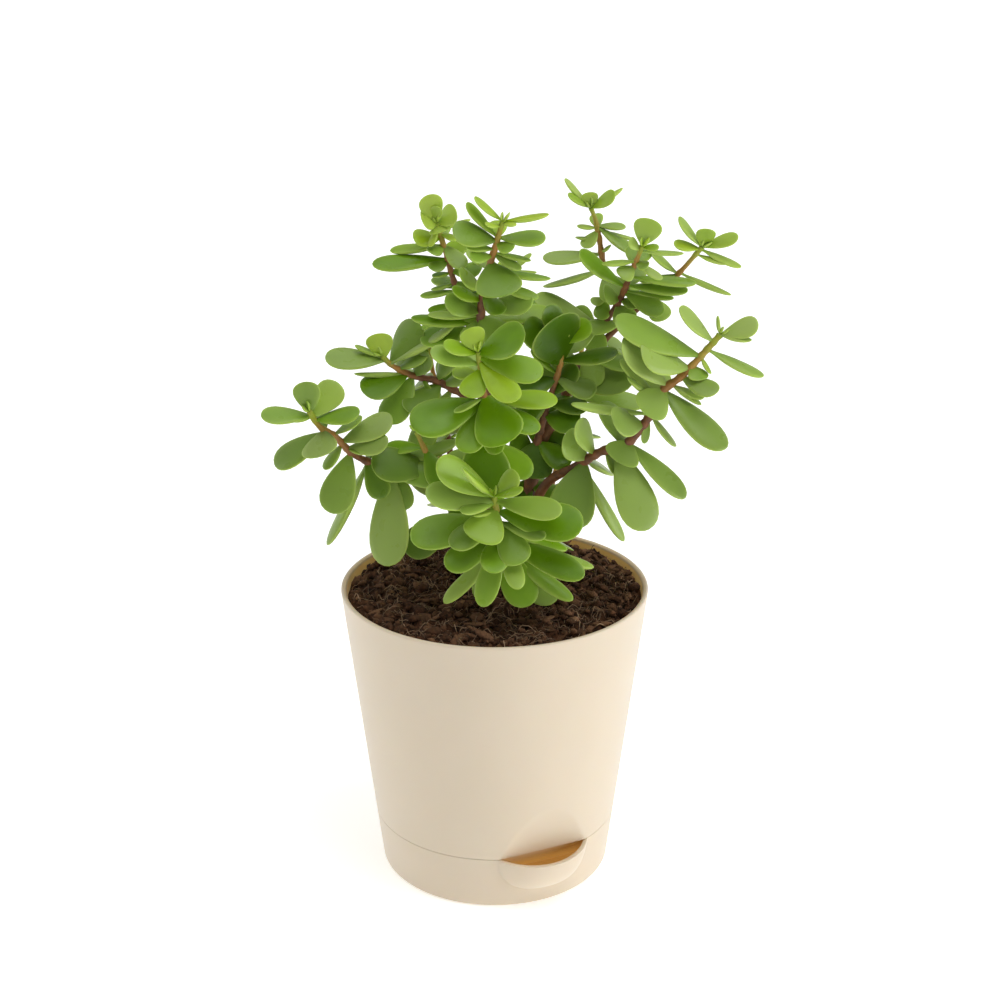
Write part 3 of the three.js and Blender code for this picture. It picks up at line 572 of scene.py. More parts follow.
@dataclass(frozen=True)
class JadeLeafFlesh:
    """Fleshy leaf with a waxy skin: satin, bright green above, greyer below, yellow-green while young,
    with painted light along the margin: a pale line and band where light would come through the thin
    edge."""

    mature: int = 0x456803
    fresh: int = 0x74A004
    young: int = 0xB2CC24
    fresh_span: Span = (0.0, 0.5)  # youth from mature to fresh
    young_span: Span = (0.5, 1.0)  # youth from fresh to young
    mottle: int = 0x365403
    mottle_mm: float = 7.0
    mottle_span: Span = (0.45, 0.75)  # part of the pattern that shows
    mottle_share: float = 0.2
    under: int = 0xADC26C
    under_share: float = 0.6
    # painted light: the colour laid along the margin where light would come through the thin edge
    edge: int = 0xC2D867
    painted_edge_share: float = 0.5
    wax_mm: float = 6.0  # patches of thicker and thinner wax
    wax_span: Span = (0.3, 0.7)
    roughness: Span = (0.26, 0.38)
    ior: float = 1.4
    gloss: float = 0.36
    scatter: float = 0.2
    scatter_mm: Triple = (0.9, 1.2, 0.2)  # red, green, blue
    pore_mm: float = 0.9
    pore_depth_mm: float = 0.03

    def build(self) -> bpy.types.Material:
        """Make the material.

        Returns:
            The material. It reads the values youth, pale, underside and margin, all from 0 to 1. The
            margin value lays on painted light at the edge.
        """
        material = bpy.data.materials.new("jade_leaf_flesh")
        painter = Painter(material)
        place = painter.add(NodeKind.OBJECT_PLACE)
        youth, pale, underside, margin = (
            painter.add(NodeKind.ATTRIBUTE, attribute_name=name)
            for name in ("youth", "pale", "underside", "margin"))
        clouds, wax, pores = (
            painter.add(NodeKind.NOISE, place, per_metre(size))
            for size in (self.mottle_mm, self.wax_mm, self.pore_mm))
        mottled = painter.add(NodeKind.MAP_RANGE, clouds, *self.mottle_span)
        painter.feed({
            "Base Color": painter.coat(
                self.mature,
                (painter.add(NodeKind.MAP_RANGE, youth, *self.fresh_span), self.fresh),
                (painter.add(NodeKind.MAP_RANGE, youth, *self.young_span), self.young),
                (painter.add(NodeKind.MULTIPLY, mottled, self.mottle_share), self.mottle),
                (painter.add(NodeKind.MULTIPLY, underside, self.under_share), self.under),
                # pale: the underside's grey, partly older leaves' tone and partly painted sheen of the
                # white surroundings
                (pale, self.under),
                # painted light along the margin
                (painter.add(NodeKind.MULTIPLY, margin, self.painted_edge_share), self.edge),
            ),
            "Roughness": painter.add(NodeKind.MAP_RANGE, wax, *self.wax_span, *self.roughness),
            "IOR": self.ior,
            "Specular IOR Level": self.gloss,
            "Subsurface Weight": self.scatter,
            "Subsurface Radius": tuple(length * MM for length in self.scatter_mm),
            "Subsurface Scale": 1.0,
            "Normal": painter.add(NodeKind.BUMP, pores, self.pore_depth_mm * MM),
        })
        return material


@dataclass(frozen=True)
class StudioWhite:
    """Seamless studio paper, lit until it is white."""

    paper: int = 0xFAFAF8
    glow: float = 0.42
    roughness: float = 0.9

    def build(self) -> bpy.types.Material:
        """Make the material.

        Returns:
            The material.
        """
        material = bpy.data.materials.new("studio_paper")
        Painter(material).feed({
            "Base Color": self.paper,
            "Roughness": self.roughness,
            "Specular IOR Level": 0.0,
            "Emission Color": self.paper,
            "Emission Strength": self.glow,
        })
        return material


# ---------------------------------------------------------------- holder


def arc(inset: float, height: float, radius: float, start: float, stop: float,
        steps: int = 5) -> list[tuple[float, float]]:
    """Round an edge of a wall's profile: inset - radius * cos t, height + radius * sin t.

    Args:
        inset: Inset of the arc's centre from the outer face, in millimetres.
        height: Height of the arc's centre in millimetres.
        radius: Radius in millimetres.
        start: First angle in degrees; 0 faces outwards and 90 faces up.
        stop: Last angle in degrees.
        steps: Number of points.

    Returns:
        Rows of inset and height.
    """
    angles = np.radians(np.linspace(start, stop, steps))
    return list(zip(inset - radius * np.cos(angles), height + radius * np.sin(angles)))


def straight(inset: float, start: float, stop: float, steps: int,
             endpoint: bool = True) -> list[tuple[float, float]]:
    """Go up or down a wall's profile in even steps, with or without a row at the stop."""
    return [(inset, height) for height in np.linspace(start, stop, steps, endpoint)]


def corner(inset: float, height: float, steps: Rows) -> list[tuple[float, float]]:
    """Round a corner of a wall's profile by steps of inset and height from where it would be sharp."""
    return [(inset + inward, height + upward) for inward, upward in steps]


def azimuths(middle: float, half_span: float, fine: float = 0.75, coarse: float = 3.0) -> np.ndarray:
    """List azimuths round the pot, closer together about one of them.

    Args:
        middle: Azimuth about which they are close, in degrees.
        half_span: How far they are close on each side of it.
        fine: Step there.
        coarse: Step elsewhere.

    Returns:
        The azimuths in degrees.
    """
    near = np.arange(middle - half_span, middle + half_span, fine)
    far = np.arange(middle + half_span, middle - half_span + 360.0, coarse)
    return np.concatenate([near, far])


def around_axis(azimuth: np.ndarray, radius: np.ndarray, height: np.ndarray) -> np.ndarray:
    """Place points round the pot's axis: radius * cos azimuth, radius * sin azimuth, height.

    Args:
        azimuth: Azimuths in degrees.
        radius: Radii in millimetres.
        height: Heights in millimetres.

    Returns:
        Points in metres.
    """
    angle = np.radians(azimuth)
    parts = np.broadcast_arrays(radius * np.cos(angle), radius * np.sin(angle), height)
    return np.stack(parts, axis=-1) * MM


def columns(rows: Rows) -> np.ndarray:
    """Turn rows of two numbers into two columns, of shape (2, rows, 1)."""
    return np.array(rows).T[:, :, None]


@dataclass(frozen=True)
class Taper:
    """The cone that both pot pieces share, in millimetres."""

    top_radius: float = 57.5
    bottom_radius: float = 43.7
    height: float = 112.9
    wall: float = 1.9

    def radius(self, height: np.ndarray | float) -> np.ndarray | float:
        """Return the outer radius at a height: straight from the bottom radius to the top radius."""
        return self.bottom_radius + (self.top_radius - self.bottom_radius) * height / self.height


@dataclass(frozen=True)
class Facet:
    """The flat cut into the upper pot over the water inlet: a plane that leans outwards."""

    azimuth: float = -65.5
    half_span: float = 33.0  # degrees on each side where the wall needs close points
    low_height: float = 21.6
    low_distance: float = 42.9
    top_height: float = 42.1
    top_distance: float = 48.85
    corner: float = 0.12  # difference in radius over which the edge of the flat is rounded
    least_cosine: float = 0.05  # keeps the plane's distance finite beside and behind the axis

    def cut(self, azimuth: np.ndarray, height: np.ndarray, radius: np.ndarray,
            inset: np.ndarray | float) -> np.ndarray:
        """Hold a radius back to the plane: the smaller of it and distance / cos(offset), rounded.

        Args:
            azimuth: Azimuths in degrees.
            height: Heights in millimetres.
            radius: Radii without the flat.
            inset: How far the plane is moved inwards.

        Returns:
            The radii with the flat.
        """
        slope = (self.top_distance - self.low_distance) / (self.top_height - self.low_height)
        distance = self.low_distance + slope * (height - self.low_height) - inset
        ahead = np.maximum(np.cos(np.radians(azimuth - self.azimuth)), self.least_cosine)
        return soft_minimum(radius, distance / ahead, self.corner)


@dataclass(frozen=True)
class WickingPot:
    """The upper pot: a faceted cone on a neck that nests in the reservoir, with a slotted foot.

    Sizes are in millimetres. A corner is given by its steps from where it would be sharp.
    """

    taper: Taper = Taper()
    facet: Facet = Facet()
    seam: float = 21.74
    neck_radius: float = 43.0
    neck_bottom: float = 13.5
    neck_inset: float = 2.4  # the neck's flat lies further in than the outer one
    neck_corner: Rows = ((1.5, 0.0), (0.5, 0.1), (0.1, 0.5), (0.0, 1.5))
    neck_ends: Span = (0.6, 0.8)  # height of the neck's last straight part, outside and inside
    neck_painted_shade: Span = (2.5, 0.5)  # depths under the seam between which the neck's painted glow turns to painted shade
    floor: float = 2.0
    floor_corner: Rows = ((0.0, 1.0), (0.3, 0.3), (1.0, 0.0))
    shoulder: float = 1.9
    shoulder_corner: Rows = ((0.0, 1.2), (0.4, 0.3), (1.2, 0.0))
    flank_levels: Span = (46.0, 50.0)  # the facet's rows end at the first, the cone's start at the second
    flank_rows: tuple[int, int, int] = (34, 14, 25)  # past the facet, over it, and down inside
    foot_radius: float = 11.0
    foot_wall: float = 1.6
    foot_bottom: float = 3.4
    foot_floor: float = 1.4
    foot_around: int = 48
    post_points: int = 9  # across the face of a post
    slot_top: float = 10.5
    slot_width: float = 4.5
    posts: int = 4
    rim_radius: float = 0.75
    edge_radius: float = 0.12
    rim_painted_glow: float = 0.4  # painted glow on the rim, where light would come through it, against 1 inside the reservoir
    wall_painted_glow: float = 0.95  # painted glow on the inner wall above the soil, where light would come through it

    def shell(self) -> Skin:
        """Build the walls and the floor: rows of (inset, height) carried round the axis.

        The rows go out under the floor, up the neck and the cone, over the rim, down the inner wall
        and in over the floor.

        Returns:
            The skin. Its inside value sets the painted glow: 0 outside, more where light would pass the
            wall.
        """
        azimuth = azimuths(self.facet.azimuth, self.facet.half_span)
        wall, rim, edge = self.taper.wall, self.rim_radius, self.edge_radius
        top, bottom, seam = self.taper.height, self.neck_bottom, self.seam
        bore = self.neck_radius - self.foot_radius + self.foot_wall
        inner_floor, ledge = bottom + self.floor, seam + self.shoulder
        neck_out = [(bore, bottom), *corner(0.0, bottom, self.neck_corner)]
        neck_out += straight(0.0, seam - self.neck_ends[0], seam, 2)
        outside = arc(edge, seam + edge, edge, -90, 0)
        outside += straight(0.0, seam + 2 * edge, self.flank_levels[0], self.flank_rows[0])
        outside += straight(0.0, self.flank_levels[1], top - 2 * rim, self.flank_rows[1])
        outside += arc(rim, top - rim, rim, 0, 90)
        over_rim = arc(wall - rim, top - rim, rim, 90, 180)
        shoulder = corner(wall, ledge, self.shoulder_corner)
        inside = straight(wall, top - 2 * rim, shoulder[0][1], self.flank_rows[2], False) + shoulder
        neck_in = straight(wall, ledge, ledge - self.neck_ends[1], 2)
        neck_in += [*corner(wall, inner_floor, self.floor_corner), (bore, inner_floor)]
        # painted shade: the neck's painted glow fades out just under the seam
        shade = smoothstep(np.array(neck_out)[:, 1], *(seam - depth for depth in self.neck_painted_shade))
        sections = (
            (neck_out, True, 1.0 - shade),
            (outside, False, 0.0),
            (over_rim, False, self.rim_painted_glow),
            (inside, False, self.wall_painted_glow),
            (neck_in, True, 1.0),
        )
        rings, light = [], []
        for rows, on_neck, glow in sections:
            inset, height = columns(rows)
            base = self.neck_radius if on_neck else self.taper.radius(height)
            extra = self.neck_inset if on_neck else 0.0
            radius = self.facet.cut(azimuth, height, base - inset, inset + extra)
            rings.append(around_axis(azimuth, radius, height))
            light.append(np.broadcast_to(glow, len(rows)))
        values = {"inside": np.concatenate(light)[None, :, None]}
        return Skin(np.concatenate(rings)[None], values, looped=True)

    def foot(self) -> list[Skin]:
        """Build the wicking foot: a collar, posts between the slots and a cup bottom.

        Returns:
            The skins.
        """
        out, bore = self.foot_radius, self.foot_radius - self.foot_wall
        cup_top = self.foot_bottom + self.foot_floor
        azimuth = np.linspace(0.0, 360.0, self.foot_around, endpoint=False)
        collar = ((bore, self.slot_top), (out, self.slot_top), (out, self.neck_bottom),
                  (bore, self.neck_bottom))
        cup = [(out - inward, self.foot_bottom + upward) for inward, upward in self.floor_corner[::-1]]
        rings = [around_axis(azimuth, *columns(rows))[None] for rows in (collar, [*cup, (out, cup_top)])]
        turn = 360.0 / self.posts
        half_gap = np.degrees(self.slot_width / 2 / out)
        face = np.linspace(half_gap, turn - half_gap, self.post_points)
        outline = np.concatenate([face, face[::-1]]) + turn * np.arange(self.posts)[:, None, None]
        reach = np.repeat([out, bore], len(face))
        posts = around_axis(outline, reach, np.array([[cup_top], [self.slot_top]]))
        # the foot's walls get the full painted glow
        full_painted_glow = {"inside": np.ones(())}
        return [Skin(rings[0], full_painted_glow, looped=True), Skin(rings[1], full_painted_glow), Skin(posts, full_painted_glow)]

    def build(self, material: bpy.types.Material) -> None:
        """Build the upper pot and its foot."""
        Piece("pot_body_shell", [self.shell()], material, Slot.POT, "pot_body").build()
        Piece("pot_wicking_foot", self.foot(), material, Slot.POT, "pot_body").build()


@dataclass(frozen=True)
class ReservoirBase:
    """The water reservoir: a shallow cup whose wall swells into a lip at the inlet.

    Sizes are in millimetres. A corner is given by its steps from where it would be sharp.
    """

    taper: Taper = Taper()
    height: float = 21.6
    floor: float = 2.0
    floor_corner: Rows = ((0.0, 1.4), (0.4, 0.4), (1.4, 0.0))
    floor_insets: Span = (12.0, 20.0)  # last rings under and over the floor, before its middle
    bevel: float = 1.4
    bevel_inset: float = 1.0  # how far inside the bevel the underside's last row is
    wall_start: float = 1.6  # height of the wall's first row, against the bevel's radius
    wall_rows: tuple[int, int, int] = (7, 52, 33)  # round the bevel, up outside, and down inside
    lip_azimuth: float = -65.0
    lip_half_width: float = 23.5  # degrees
    lip_close: float = 36.0  # degrees on each side where the wall needs close points
    lip_reach: float = 7.0
    lip_bottom: float = 7.5
    lip_drop: float = 0.9
    crease_gap: float = 0.5  # how far the crease's ends stay under the rim
    edge_radius: float = 0.2
    rim_painted_glow: float = 0.3  # painted glow on the rim, where light would come through it, against 1 inside

    def lip(self, azimuth: np.ndarray) -> np.ndarray:
        """Return how far the rim of the lip stands out, from 0 to 1: cos(offset) ** 0.8."""
        hump = np.cos(self.off_lip(azimuth) * np.pi / 2)
        return np.maximum(hump, 0.0) ** 0.8

    def off_lip(self, azimuth: np.ndarray) -> np.ndarray:
        """Return the place across the lip: 0 at its middle, -1 and 1 at its ends and beyond."""
        offset = (azimuth - self.lip_azimuth + 180.0) % 360.0 - 180.0
        return np.clip(offset / self.lip_half_width, -1.0, 1.0)

    def pouch(self, azimuth: np.ndarray, height: np.ndarray, top: np.ndarray) -> np.ndarray:
        """Return how full the lip is at a height, from 0 to 1: sqrt(1 - (1 - t) ** 2).

        The share t grows from 0 at the crease under the lip to 1 at its rim. The crease rises almost to
        the rim at both ends: bottom + (top - gap - bottom) * (1 - sqrt(1 - |offset| ** 3)).

        Args:
            azimuth: Azimuths in degrees.
            height: Heights in millimetres.
            top: Height of the rim.

        Returns:
            The fullness, of the inputs' common shape.
        """
        rise = 1.0 - np.sqrt(1.0 - np.abs(self.off_lip(azimuth)) ** 3)
        crease = self.lip_bottom + (top - self.crease_gap - self.lip_bottom) * rise
        share = np.clip((height - crease) / (top - crease), 0.0, 1.0)
        return np.sqrt(1.0 - (1.0 - share) ** 2)

    def shell(self) -> Skin:
        """Build the cup: radius = cone + reach * lip * pouch - inset.

        The rows go out over the underside, up the wall, over the rim, down inside and in over the
        floor. Under the lip they are drawn down with its rim.

        Returns:
            The skin. Its inside value, 1 on the faces towards the water, sets their painted glow.
        """
        azimuth = azimuths(self.lip_azimuth, self.lip_close)
        wall, edge, bevel = self.taper.wall, self.edge_radius, self.bevel
        round_rows, outer_rows, inner_rows = self.wall_rows
        outside = [(self.floor_insets[0], 0.0), (bevel + self.bevel_inset, 0.0)]
        outside += arc(bevel, bevel, bevel, -90, 0, round_rows)
        outside += straight(0.0, bevel * self.wall_start, self.height - 2 * edge, outer_rows)
        outside += arc(edge, self.height - edge, edge, 0, 90)
        over_rim = arc(wall - edge, self.height - edge, edge, 90, 180)
        foot = [*corner(wall, self.floor, self.floor_corner), (self.floor_insets[1], self.floor)]
        inside = straight(wall, self.height - 2 * edge, foot[0][1], inner_rows, False) + foot
        inset, level = columns(outside + over_rim + inside)
        lip = self.lip(azimuth)
        height = level * (1.0 - self.lip_drop / self.height * lip)
        top = self.height - self.lip_drop * lip
        swell = self.lip_reach * lip * self.pouch(azimuth, height, top)
        radius = self.taper.radius(height) + swell - inset
        # painted glow: none outside, some on the rim, full on the faces inside
        light = np.repeat([0.0, self.rim_painted_glow, 1.0], [len(outside), len(over_rim), len(inside)])
        return Skin(around_axis(azimuth, radius, height)[None], {"inside": light[None, :, None]})

    def build(self, material: bpy.types.Material) -> None:
        """Build the reservoir."""
        Piece("reservoir_base_shell", [self.shell()], material, Slot.POT, "reservoir_base").build()


# ---------------------------------------------------------------- filling


def scatter(rng: np.random.Generator, count: int, reach: float) -> np.ndarray:
    """Spread places evenly over a disc: radius = reach * sqrt(share).

    Args:
        rng: Source of the draws.
        count: Number of places.
        reach: Radius of the disc in millimetres.

    Returns:
        Places in millimetres, of shape (2, count).
    """
    radius = reach * np.sqrt(rng.uniform(0.0, 1.0, count))
    angle = rng.uniform(0.0, 2 * np.pi, count)
    return np.stack([radius * np.cos(angle), radius * np.sin(angle)])


def held_in(x: np.ndarray, y: np.ndarray, reach: float) -> tuple[np.ndarray, np.ndarray]:
    """Draw places in to a disc where they are outside it, by reach / distance from its middle."""
    held = np.minimum(1.0, reach / np.maximum(np.hypot(x, y), 1e-6))
    return x * held, y * held


@dataclass(frozen=True)
class Waves:
    """An uneven surface: the sum of sine waves in random directions, of about one wavelength."""

    length_mm: float
    height_mm: float
    seed: int
    count: int = 14
    lengths: Span = (0.7, 1.4)  # shortest and longest wave, against the wavelength

    def at(self, x: np.ndarray, y: np.ndarray) -> np.ndarray:
        """Return the height: height * sqrt(2 / count) * the sum of sin(k . place + phase).

        Args:
            x: Places in millimetres.
            y: Places in millimetres.

        Returns:
            Heights in millimetres.
        """
        rng = np.random.default_rng(self.seed)
        turn = rng.uniform(0, 2 * np.pi, self.count)
        phase = rng.uniform(0, 2 * np.pi, self.count)
        pace = 2 * np.pi / (self.length_mm * rng.uniform(*self.lengths, self.count))
        run = (x[..., None] * np.cos(turn) + y[..., None] * np.sin(turn)) * pace + phase
        return self.height_mm * np.sqrt(2 / self.count) * np.sin(run).sum(axis=-1)


@dataclass(frozen=True)
class Lumps:
    """Loose bits on the soil: how many, and their sizes in millimetres.

    Attributes:
        count: Number of bits.
        median: Middle one of their radii.
        spread: How much their radii vary: the deviation of the radius's logarithm.
        largest: Largest radius.
        stretch: How long a bit is for its width.
        height: How high a bit is for its width.
        seed: Seed of the draws.
        rings: Number of rings of a bit.
        around: Number of points round a ring.
        pole: Angle from each pole to the nearest ring, in radians.
        smallest: Smallest radius.
        uneven: Least and greatest radius of a point, against the bit's.
        lengths: Least and greatest stretch of a bit, against the usual one.
        tilt: Deviation of the slope that a bit lies at.
        raised: Height of a bit's middle over the soil, against half its height.
        margins: Least way of a bit's middle and of its points from the soil's edge.
        dryness: Shape of the beta distribution of its colour, with few pale bits.
    """

    count: int
    median: float
    spread: float
    largest: float
    stretch: float
    height: float
    seed: int
    rings: int = 4
    around: int = 7
    pole: float = 0.35
    smallest: float = 0.3
    uneven: Span = (0.6, 1.25)
    lengths: Span = (0.75, 1.35)
    tilt: float = 0.25
    raised: float = 0.35
    margins: Span = (1.6, 0.3)
    dryness: Span = (1.0, 3.5)

    def skin(self, soil: "PottedSoil") -> Skin:
        """Build the bits: balls with uneven radii, a third sunk in the soil.

        A point is at radius * (stretch * sin p * cos a, sin p * sin a, height * cos p), turned, tilted
        and set on the soil.

        Args:
            soil: The soil that they lie on.

        Returns:
            The skin with its copies.
        """
        rng = np.random.default_rng(self.seed)
        size = np.exp(rng.normal(np.log(self.median), self.spread, self.count))
        size = size.clip(self.smallest, self.largest)
        place = scatter(rng, self.count, soil.rim() - self.margins[0])
        polar = np.linspace(self.pole, np.pi - self.pole, self.rings)[:, None]
        angle = circle(self.around)
        uneven = size[:, None, None] * rng.uniform(*self.uneven, (self.count, self.rings, self.around))
        long = self.stretch * rng.uniform(*self.lengths, (self.count, 1, 1))
        own_x = uneven * np.sin(polar) * np.cos(angle) * long
        own_y = uneven * np.sin(polar) * np.sin(angle)
        turn = rng.uniform(0.0, 2 * np.pi, (self.count, 1, 1))
        x = place[0, :, None, None] + own_x * np.cos(turn) - own_y * np.sin(turn)
        y = place[1, :, None, None] + own_x * np.sin(turn) + own_y * np.cos(turn)
        tilt = rng.normal(0.0, self.tilt, (self.count, 1, 1))
        base = soil.surface(*place) + self.raised * self.height * size
        z = base[:, None, None] + uneven * np.cos(polar) * self.height + tilt * own_x
        dryness = rng.beta(*self.dryness, self.count)[:, None, None]
        points = np.stack([*held_in(x, y, soil.rim() - self.margins[1]), z], axis=-1)
        return Skin(points * MM, {"dryness": dryness})


@dataclass(frozen=True)
class CoirThreads:
    """Coir fibres on the soil: how many, and their sizes in millimetres.

    Attributes:
        count: Number of threads.
        median: Middle one of their lengths.
        spread: How much their lengths vary: the deviation of the length's logarithm.
        lengths: Shortest and longest thread.
        radii: Thinnest and thickest thread.
        thinning: Share of its radius that a thread loses to its end.
        bend: Deviation of the angle that a thread turns by, in radians.
        jitter: Deviation of its direction from step to step, in radians.
        slope: Deviation of the height between its ends.
        arch: Shape and scale of the gamma distribution of its height in the middle.
        highest: Greatest height in the middle.
        clear: Height of its ends over the soil.
        margins: Least way of its start and of its points from the soil's edge.
        dryness: Shape of the beta distribution of its colour.
        seed: Seed of the draws.
        steps: Number of rings.
        around: Number of points round a ring.
    """

    count: int = 950
    median: float = 6.5
    spread: float = 0.5
    lengths: Span = (2.0, 20.0)
    radii: Span = (0.07, 0.18)
    thinning: float = 0.6
    bend: float = 0.35
    jitter: float = 0.06
    slope: float = 0.5
    arch: Span = (1.2, 0.55)
    highest: float = 2.6
    clear: float = 0.45
    margins: Span = (3.0, 1.3)
    dryness: Span = (1.4, 1.4)
    seed: int = 42
    steps: int = 9
    around: int = 4

    def skin(self, soil: "PottedSoil") -> Skin:
        """Build the threads, which bend and lift a little as they lie on the soil.

        A thread turns by its bend along its length. Its height over the soil is
        clear + arch * sin(pi * share) + slope * (share - 0.5).

        Args:
            soil: The soil that they lie on.

        Returns:
            The skin with its copies.
        """
        rng = np.random.default_rng(self.seed)
        count, steps = self.count, self.steps
        share = np.linspace(0.0, 1.0, steps)
        length = np.exp(rng.normal(np.log(self.median), self.spread, count)).clip(*self.lengths)[:, None]
        turn = rng.uniform(0, 2 * np.pi, (count, 1)) + rng.normal(0.0, self.bend, (count, 1)) * share
        turn = turn + rng.normal(0.0, self.jitter, (count, steps))
        step = length / (steps - 1)
        start = scatter(rng, count, soil.rim() - self.margins[0])[:, :, None]
        x = start[0] + np.cumsum(step * np.cos(turn), axis=1)
        y = start[1] + np.cumsum(step * np.sin(turn), axis=1)
        x, y = held_in(x, y, soil.rim() - self.margins[1])
        lift = rng.gamma(*self.arch, (count, 1)).clip(0.0, self.highest) * np.sin(np.pi * share)
        tilt = rng.normal(0.0, self.slope, (count, 1)) * (share - 0.5)
        middle = np.stack([x, y, soil.surface(x, y) + self.clear + lift + tilt], axis=-1)
        heading = unit(np.gradient(middle, axis=1))
        side = unit(np.cross(heading, UP + 0.01))  # up, tipped so that no thread runs along it
        other = np.cross(heading, side)
        thinned = 1.0 - self.thinning * share[:, None, None] ** 3
        radius = rng.uniform(*self.radii, (count, 1, 1, 1)) * thinned
        angle = circle(self.around)[:, None]
        ring = np.cos(angle) * side[:, :, None] + np.sin(angle) * other[:, :, None]
        dryness = rng.beta(*self.dryness, count)[:, None, None]
        return Skin((middle[:, :, None] + radius * ring) * MM, {"dryness": dryness})


@dataclass(frozen=True)
class PottedSoil:
    """Potting mix that fills the pot and its foot, with crumbs and coir fibres on top."""

    pot: WickingPot = WickingPot()
    gap: float = 0.3
    edge: float = 109.8
    edge_drop: float = 1.5
    edge_span: Span = (0.985, 1.0)  # shares of the top's radius over which it drops
    crown: float = 1.0
    ripple: float = 0.5
    waves: tuple[Waves, ...] = (Waves(14.0, 0.5, 11), Waves(5.0, 0.5, 12), Waves(2.6, 0.35, 13))
    crumbs: Lumps = Lumps(1900, 0.85, 0.45, 2.6, 1.3, 0.8, 41)
    chips: Lumps = Lumps(260, 1.25, 0.35, 2.8, 2.2, 0.35, 43)
    threads: CoirThreads = CoirThreads()
    around: int = 220
    top_rings: int = 66
    top_reach: float = 0.985  # where the last ring is, from 0 at the edge to 1 in the middle
    top_crowding: float = 1.15  # power that draws the rings to the edge
    floor_corner: Rows = ((0.5, 0.0), (0.0, 0.5))
    ledge_rise: float = 1.0  # height of the next row over the ledge
    side_levels: tuple[float, ...] = (34.0, 42.0, 60.0, 80.0, 100.0, 106.0)
    wick_points: tuple[int, int] = (36, 12)  # round the wick, and up it
    wick_overlap: float = 0.5  # how far it reaches up into the bed
    wick_lump: float = 0.25
    wick_waves: Span = (7.0, 1.9)  # lumps round it, and their turn per millimetre of height

    def rim(self) -> float:
        """Return the radius of the soil's top edge in millimetres."""
        return float(self.pot.taper.radius(self.edge)) - self.pot.taper.wall - self.gap

    def surface(self, x: np.ndarray, y: np.ndarray) -> np.ndarray:
        """Return the soil's height: edge + crown * (1 - out ** 2) + ripple * ripples + the waves.

        The ripples are sin(x / 5.2 + y / 11) * cos(y / 6.1 - x / 17).

        Args:
            x: Places in millimetres.
            y: Places in millimetres.

        Returns:
            Heights in millimetres.
        """
        out = np.hypot(x, y) / self.pot.taper.top_radius
        ripples = np.sin(x / 5.2 + y / 11.0) * np.cos(y / 6.1 - x / 17.0)
        rough = sum(wave.at(x, y) for wave in self.waves)
        return self.edge + self.crown * (1.0 - out * out) + self.ripple * ripples + rough

    def bed(self) -> Skin:
        """Build the fill: rows up the inside of the pot, then rings over the top to its middle.

        The rings are closest together at the edge: their radius is rim * (1 - t ** crowding).

        Returns:
            The skin.
        """
        pot, gap = self.pot, self.gap
        azimuth = np.linspace(-180.0, 180.0, self.around, endpoint=False)
        floor_top = pot.neck_bottom + pot.floor + gap
        ledge = pot.seam + pot.shoulder + gap
        thick = pot.taper.wall + gap
        inset, low = columns([*corner(thick, floor_top, self.floor_corner), (thick, ledge)])
        neck = pot.facet.cut(azimuth, low, pot.neck_radius - inset, inset + pot.neck_inset)
        high = np.array([ledge, ledge + self.ledge_rise, *self.side_levels])[:, None]
        cone = pot.facet.cut(azimuth, high, pot.taper.radius(high) - thick, thick)
        share = 1.0 - np.linspace(0.0, self.top_reach, self.top_rings)[:, None] ** self.top_crowding
        top = self.rim() * share
        angle = np.radians(azimuth)
        height = self.surface(top * np.cos(angle), top * np.sin(angle))
        height = height - self.edge_drop * smoothstep(share, *self.edge_span)
        rings = [around_axis(azimuth, *ring) for ring in ((neck, low), (cone, high), (top, height))]
        return Skin(np.concatenate(rings)[None], {"dryness": np.zeros(())})

    def wick(self) -> Skin:
        """Build the soil in the foot: a plug with radius bore + lump * (sin(a * azimuth + b * z) - 1).

        Returns:
            The skin.
        """
        around, rings = self.wick_points
        azimuth = np.linspace(-180.0, 180.0, around, endpoint=False)
        bottom = self.pot.foot_bottom + self.pot.foot_floor + self.gap
        top = self.pot.neck_bottom + self.pot.floor + self.gap + self.wick_overlap
        height = np.linspace(bottom, top, rings)[:, None]
        bore = self.pot.foot_radius - self.pot.foot_wall - self.gap
        phase = np.radians(azimuth) * self.wick_waves[0] + height * self.wick_waves[1]
        lumps = self.wick_lump * np.sin(phase) - self.wick_lump
        return Skin(around_axis(azimuth, bore + lumps, height)[None], {"dryness": np.zeros(())})

    def build(self, mix: bpy.types.Material, coir: bpy.types.Material) -> None:
        """Build the fill, the wick, the crumbs, the bark chips and the fibres.

        Args:
            mix: Finish of the potting mix.
            coir: Finish of the fibres.
        """
        pieces = (
            ("bed", self.bed(), mix),
            ("wick", self.wick(), mix),
            ("crumbs", self.crumbs.skin(self), mix),
            ("bark_chips", self.chips.skin(self), mix),
            ("fibres", self.threads.skin(self), coir),
        )
        for name, skin, material in pieces:
            Piece(f"soil_{name}", [skin], material, Slot.SOIL, "soil").build()


# ---------------------------------------------------------------- plant


def nearness(travel: np.ndarray, places: np.ndarray | float, width: float) -> np.ndarray:
    """Return how near each ring is to each place: exp(-(distance / width) ** 2)."""
    return np.exp(-(((travel[:, None] - places) / width) ** 2))


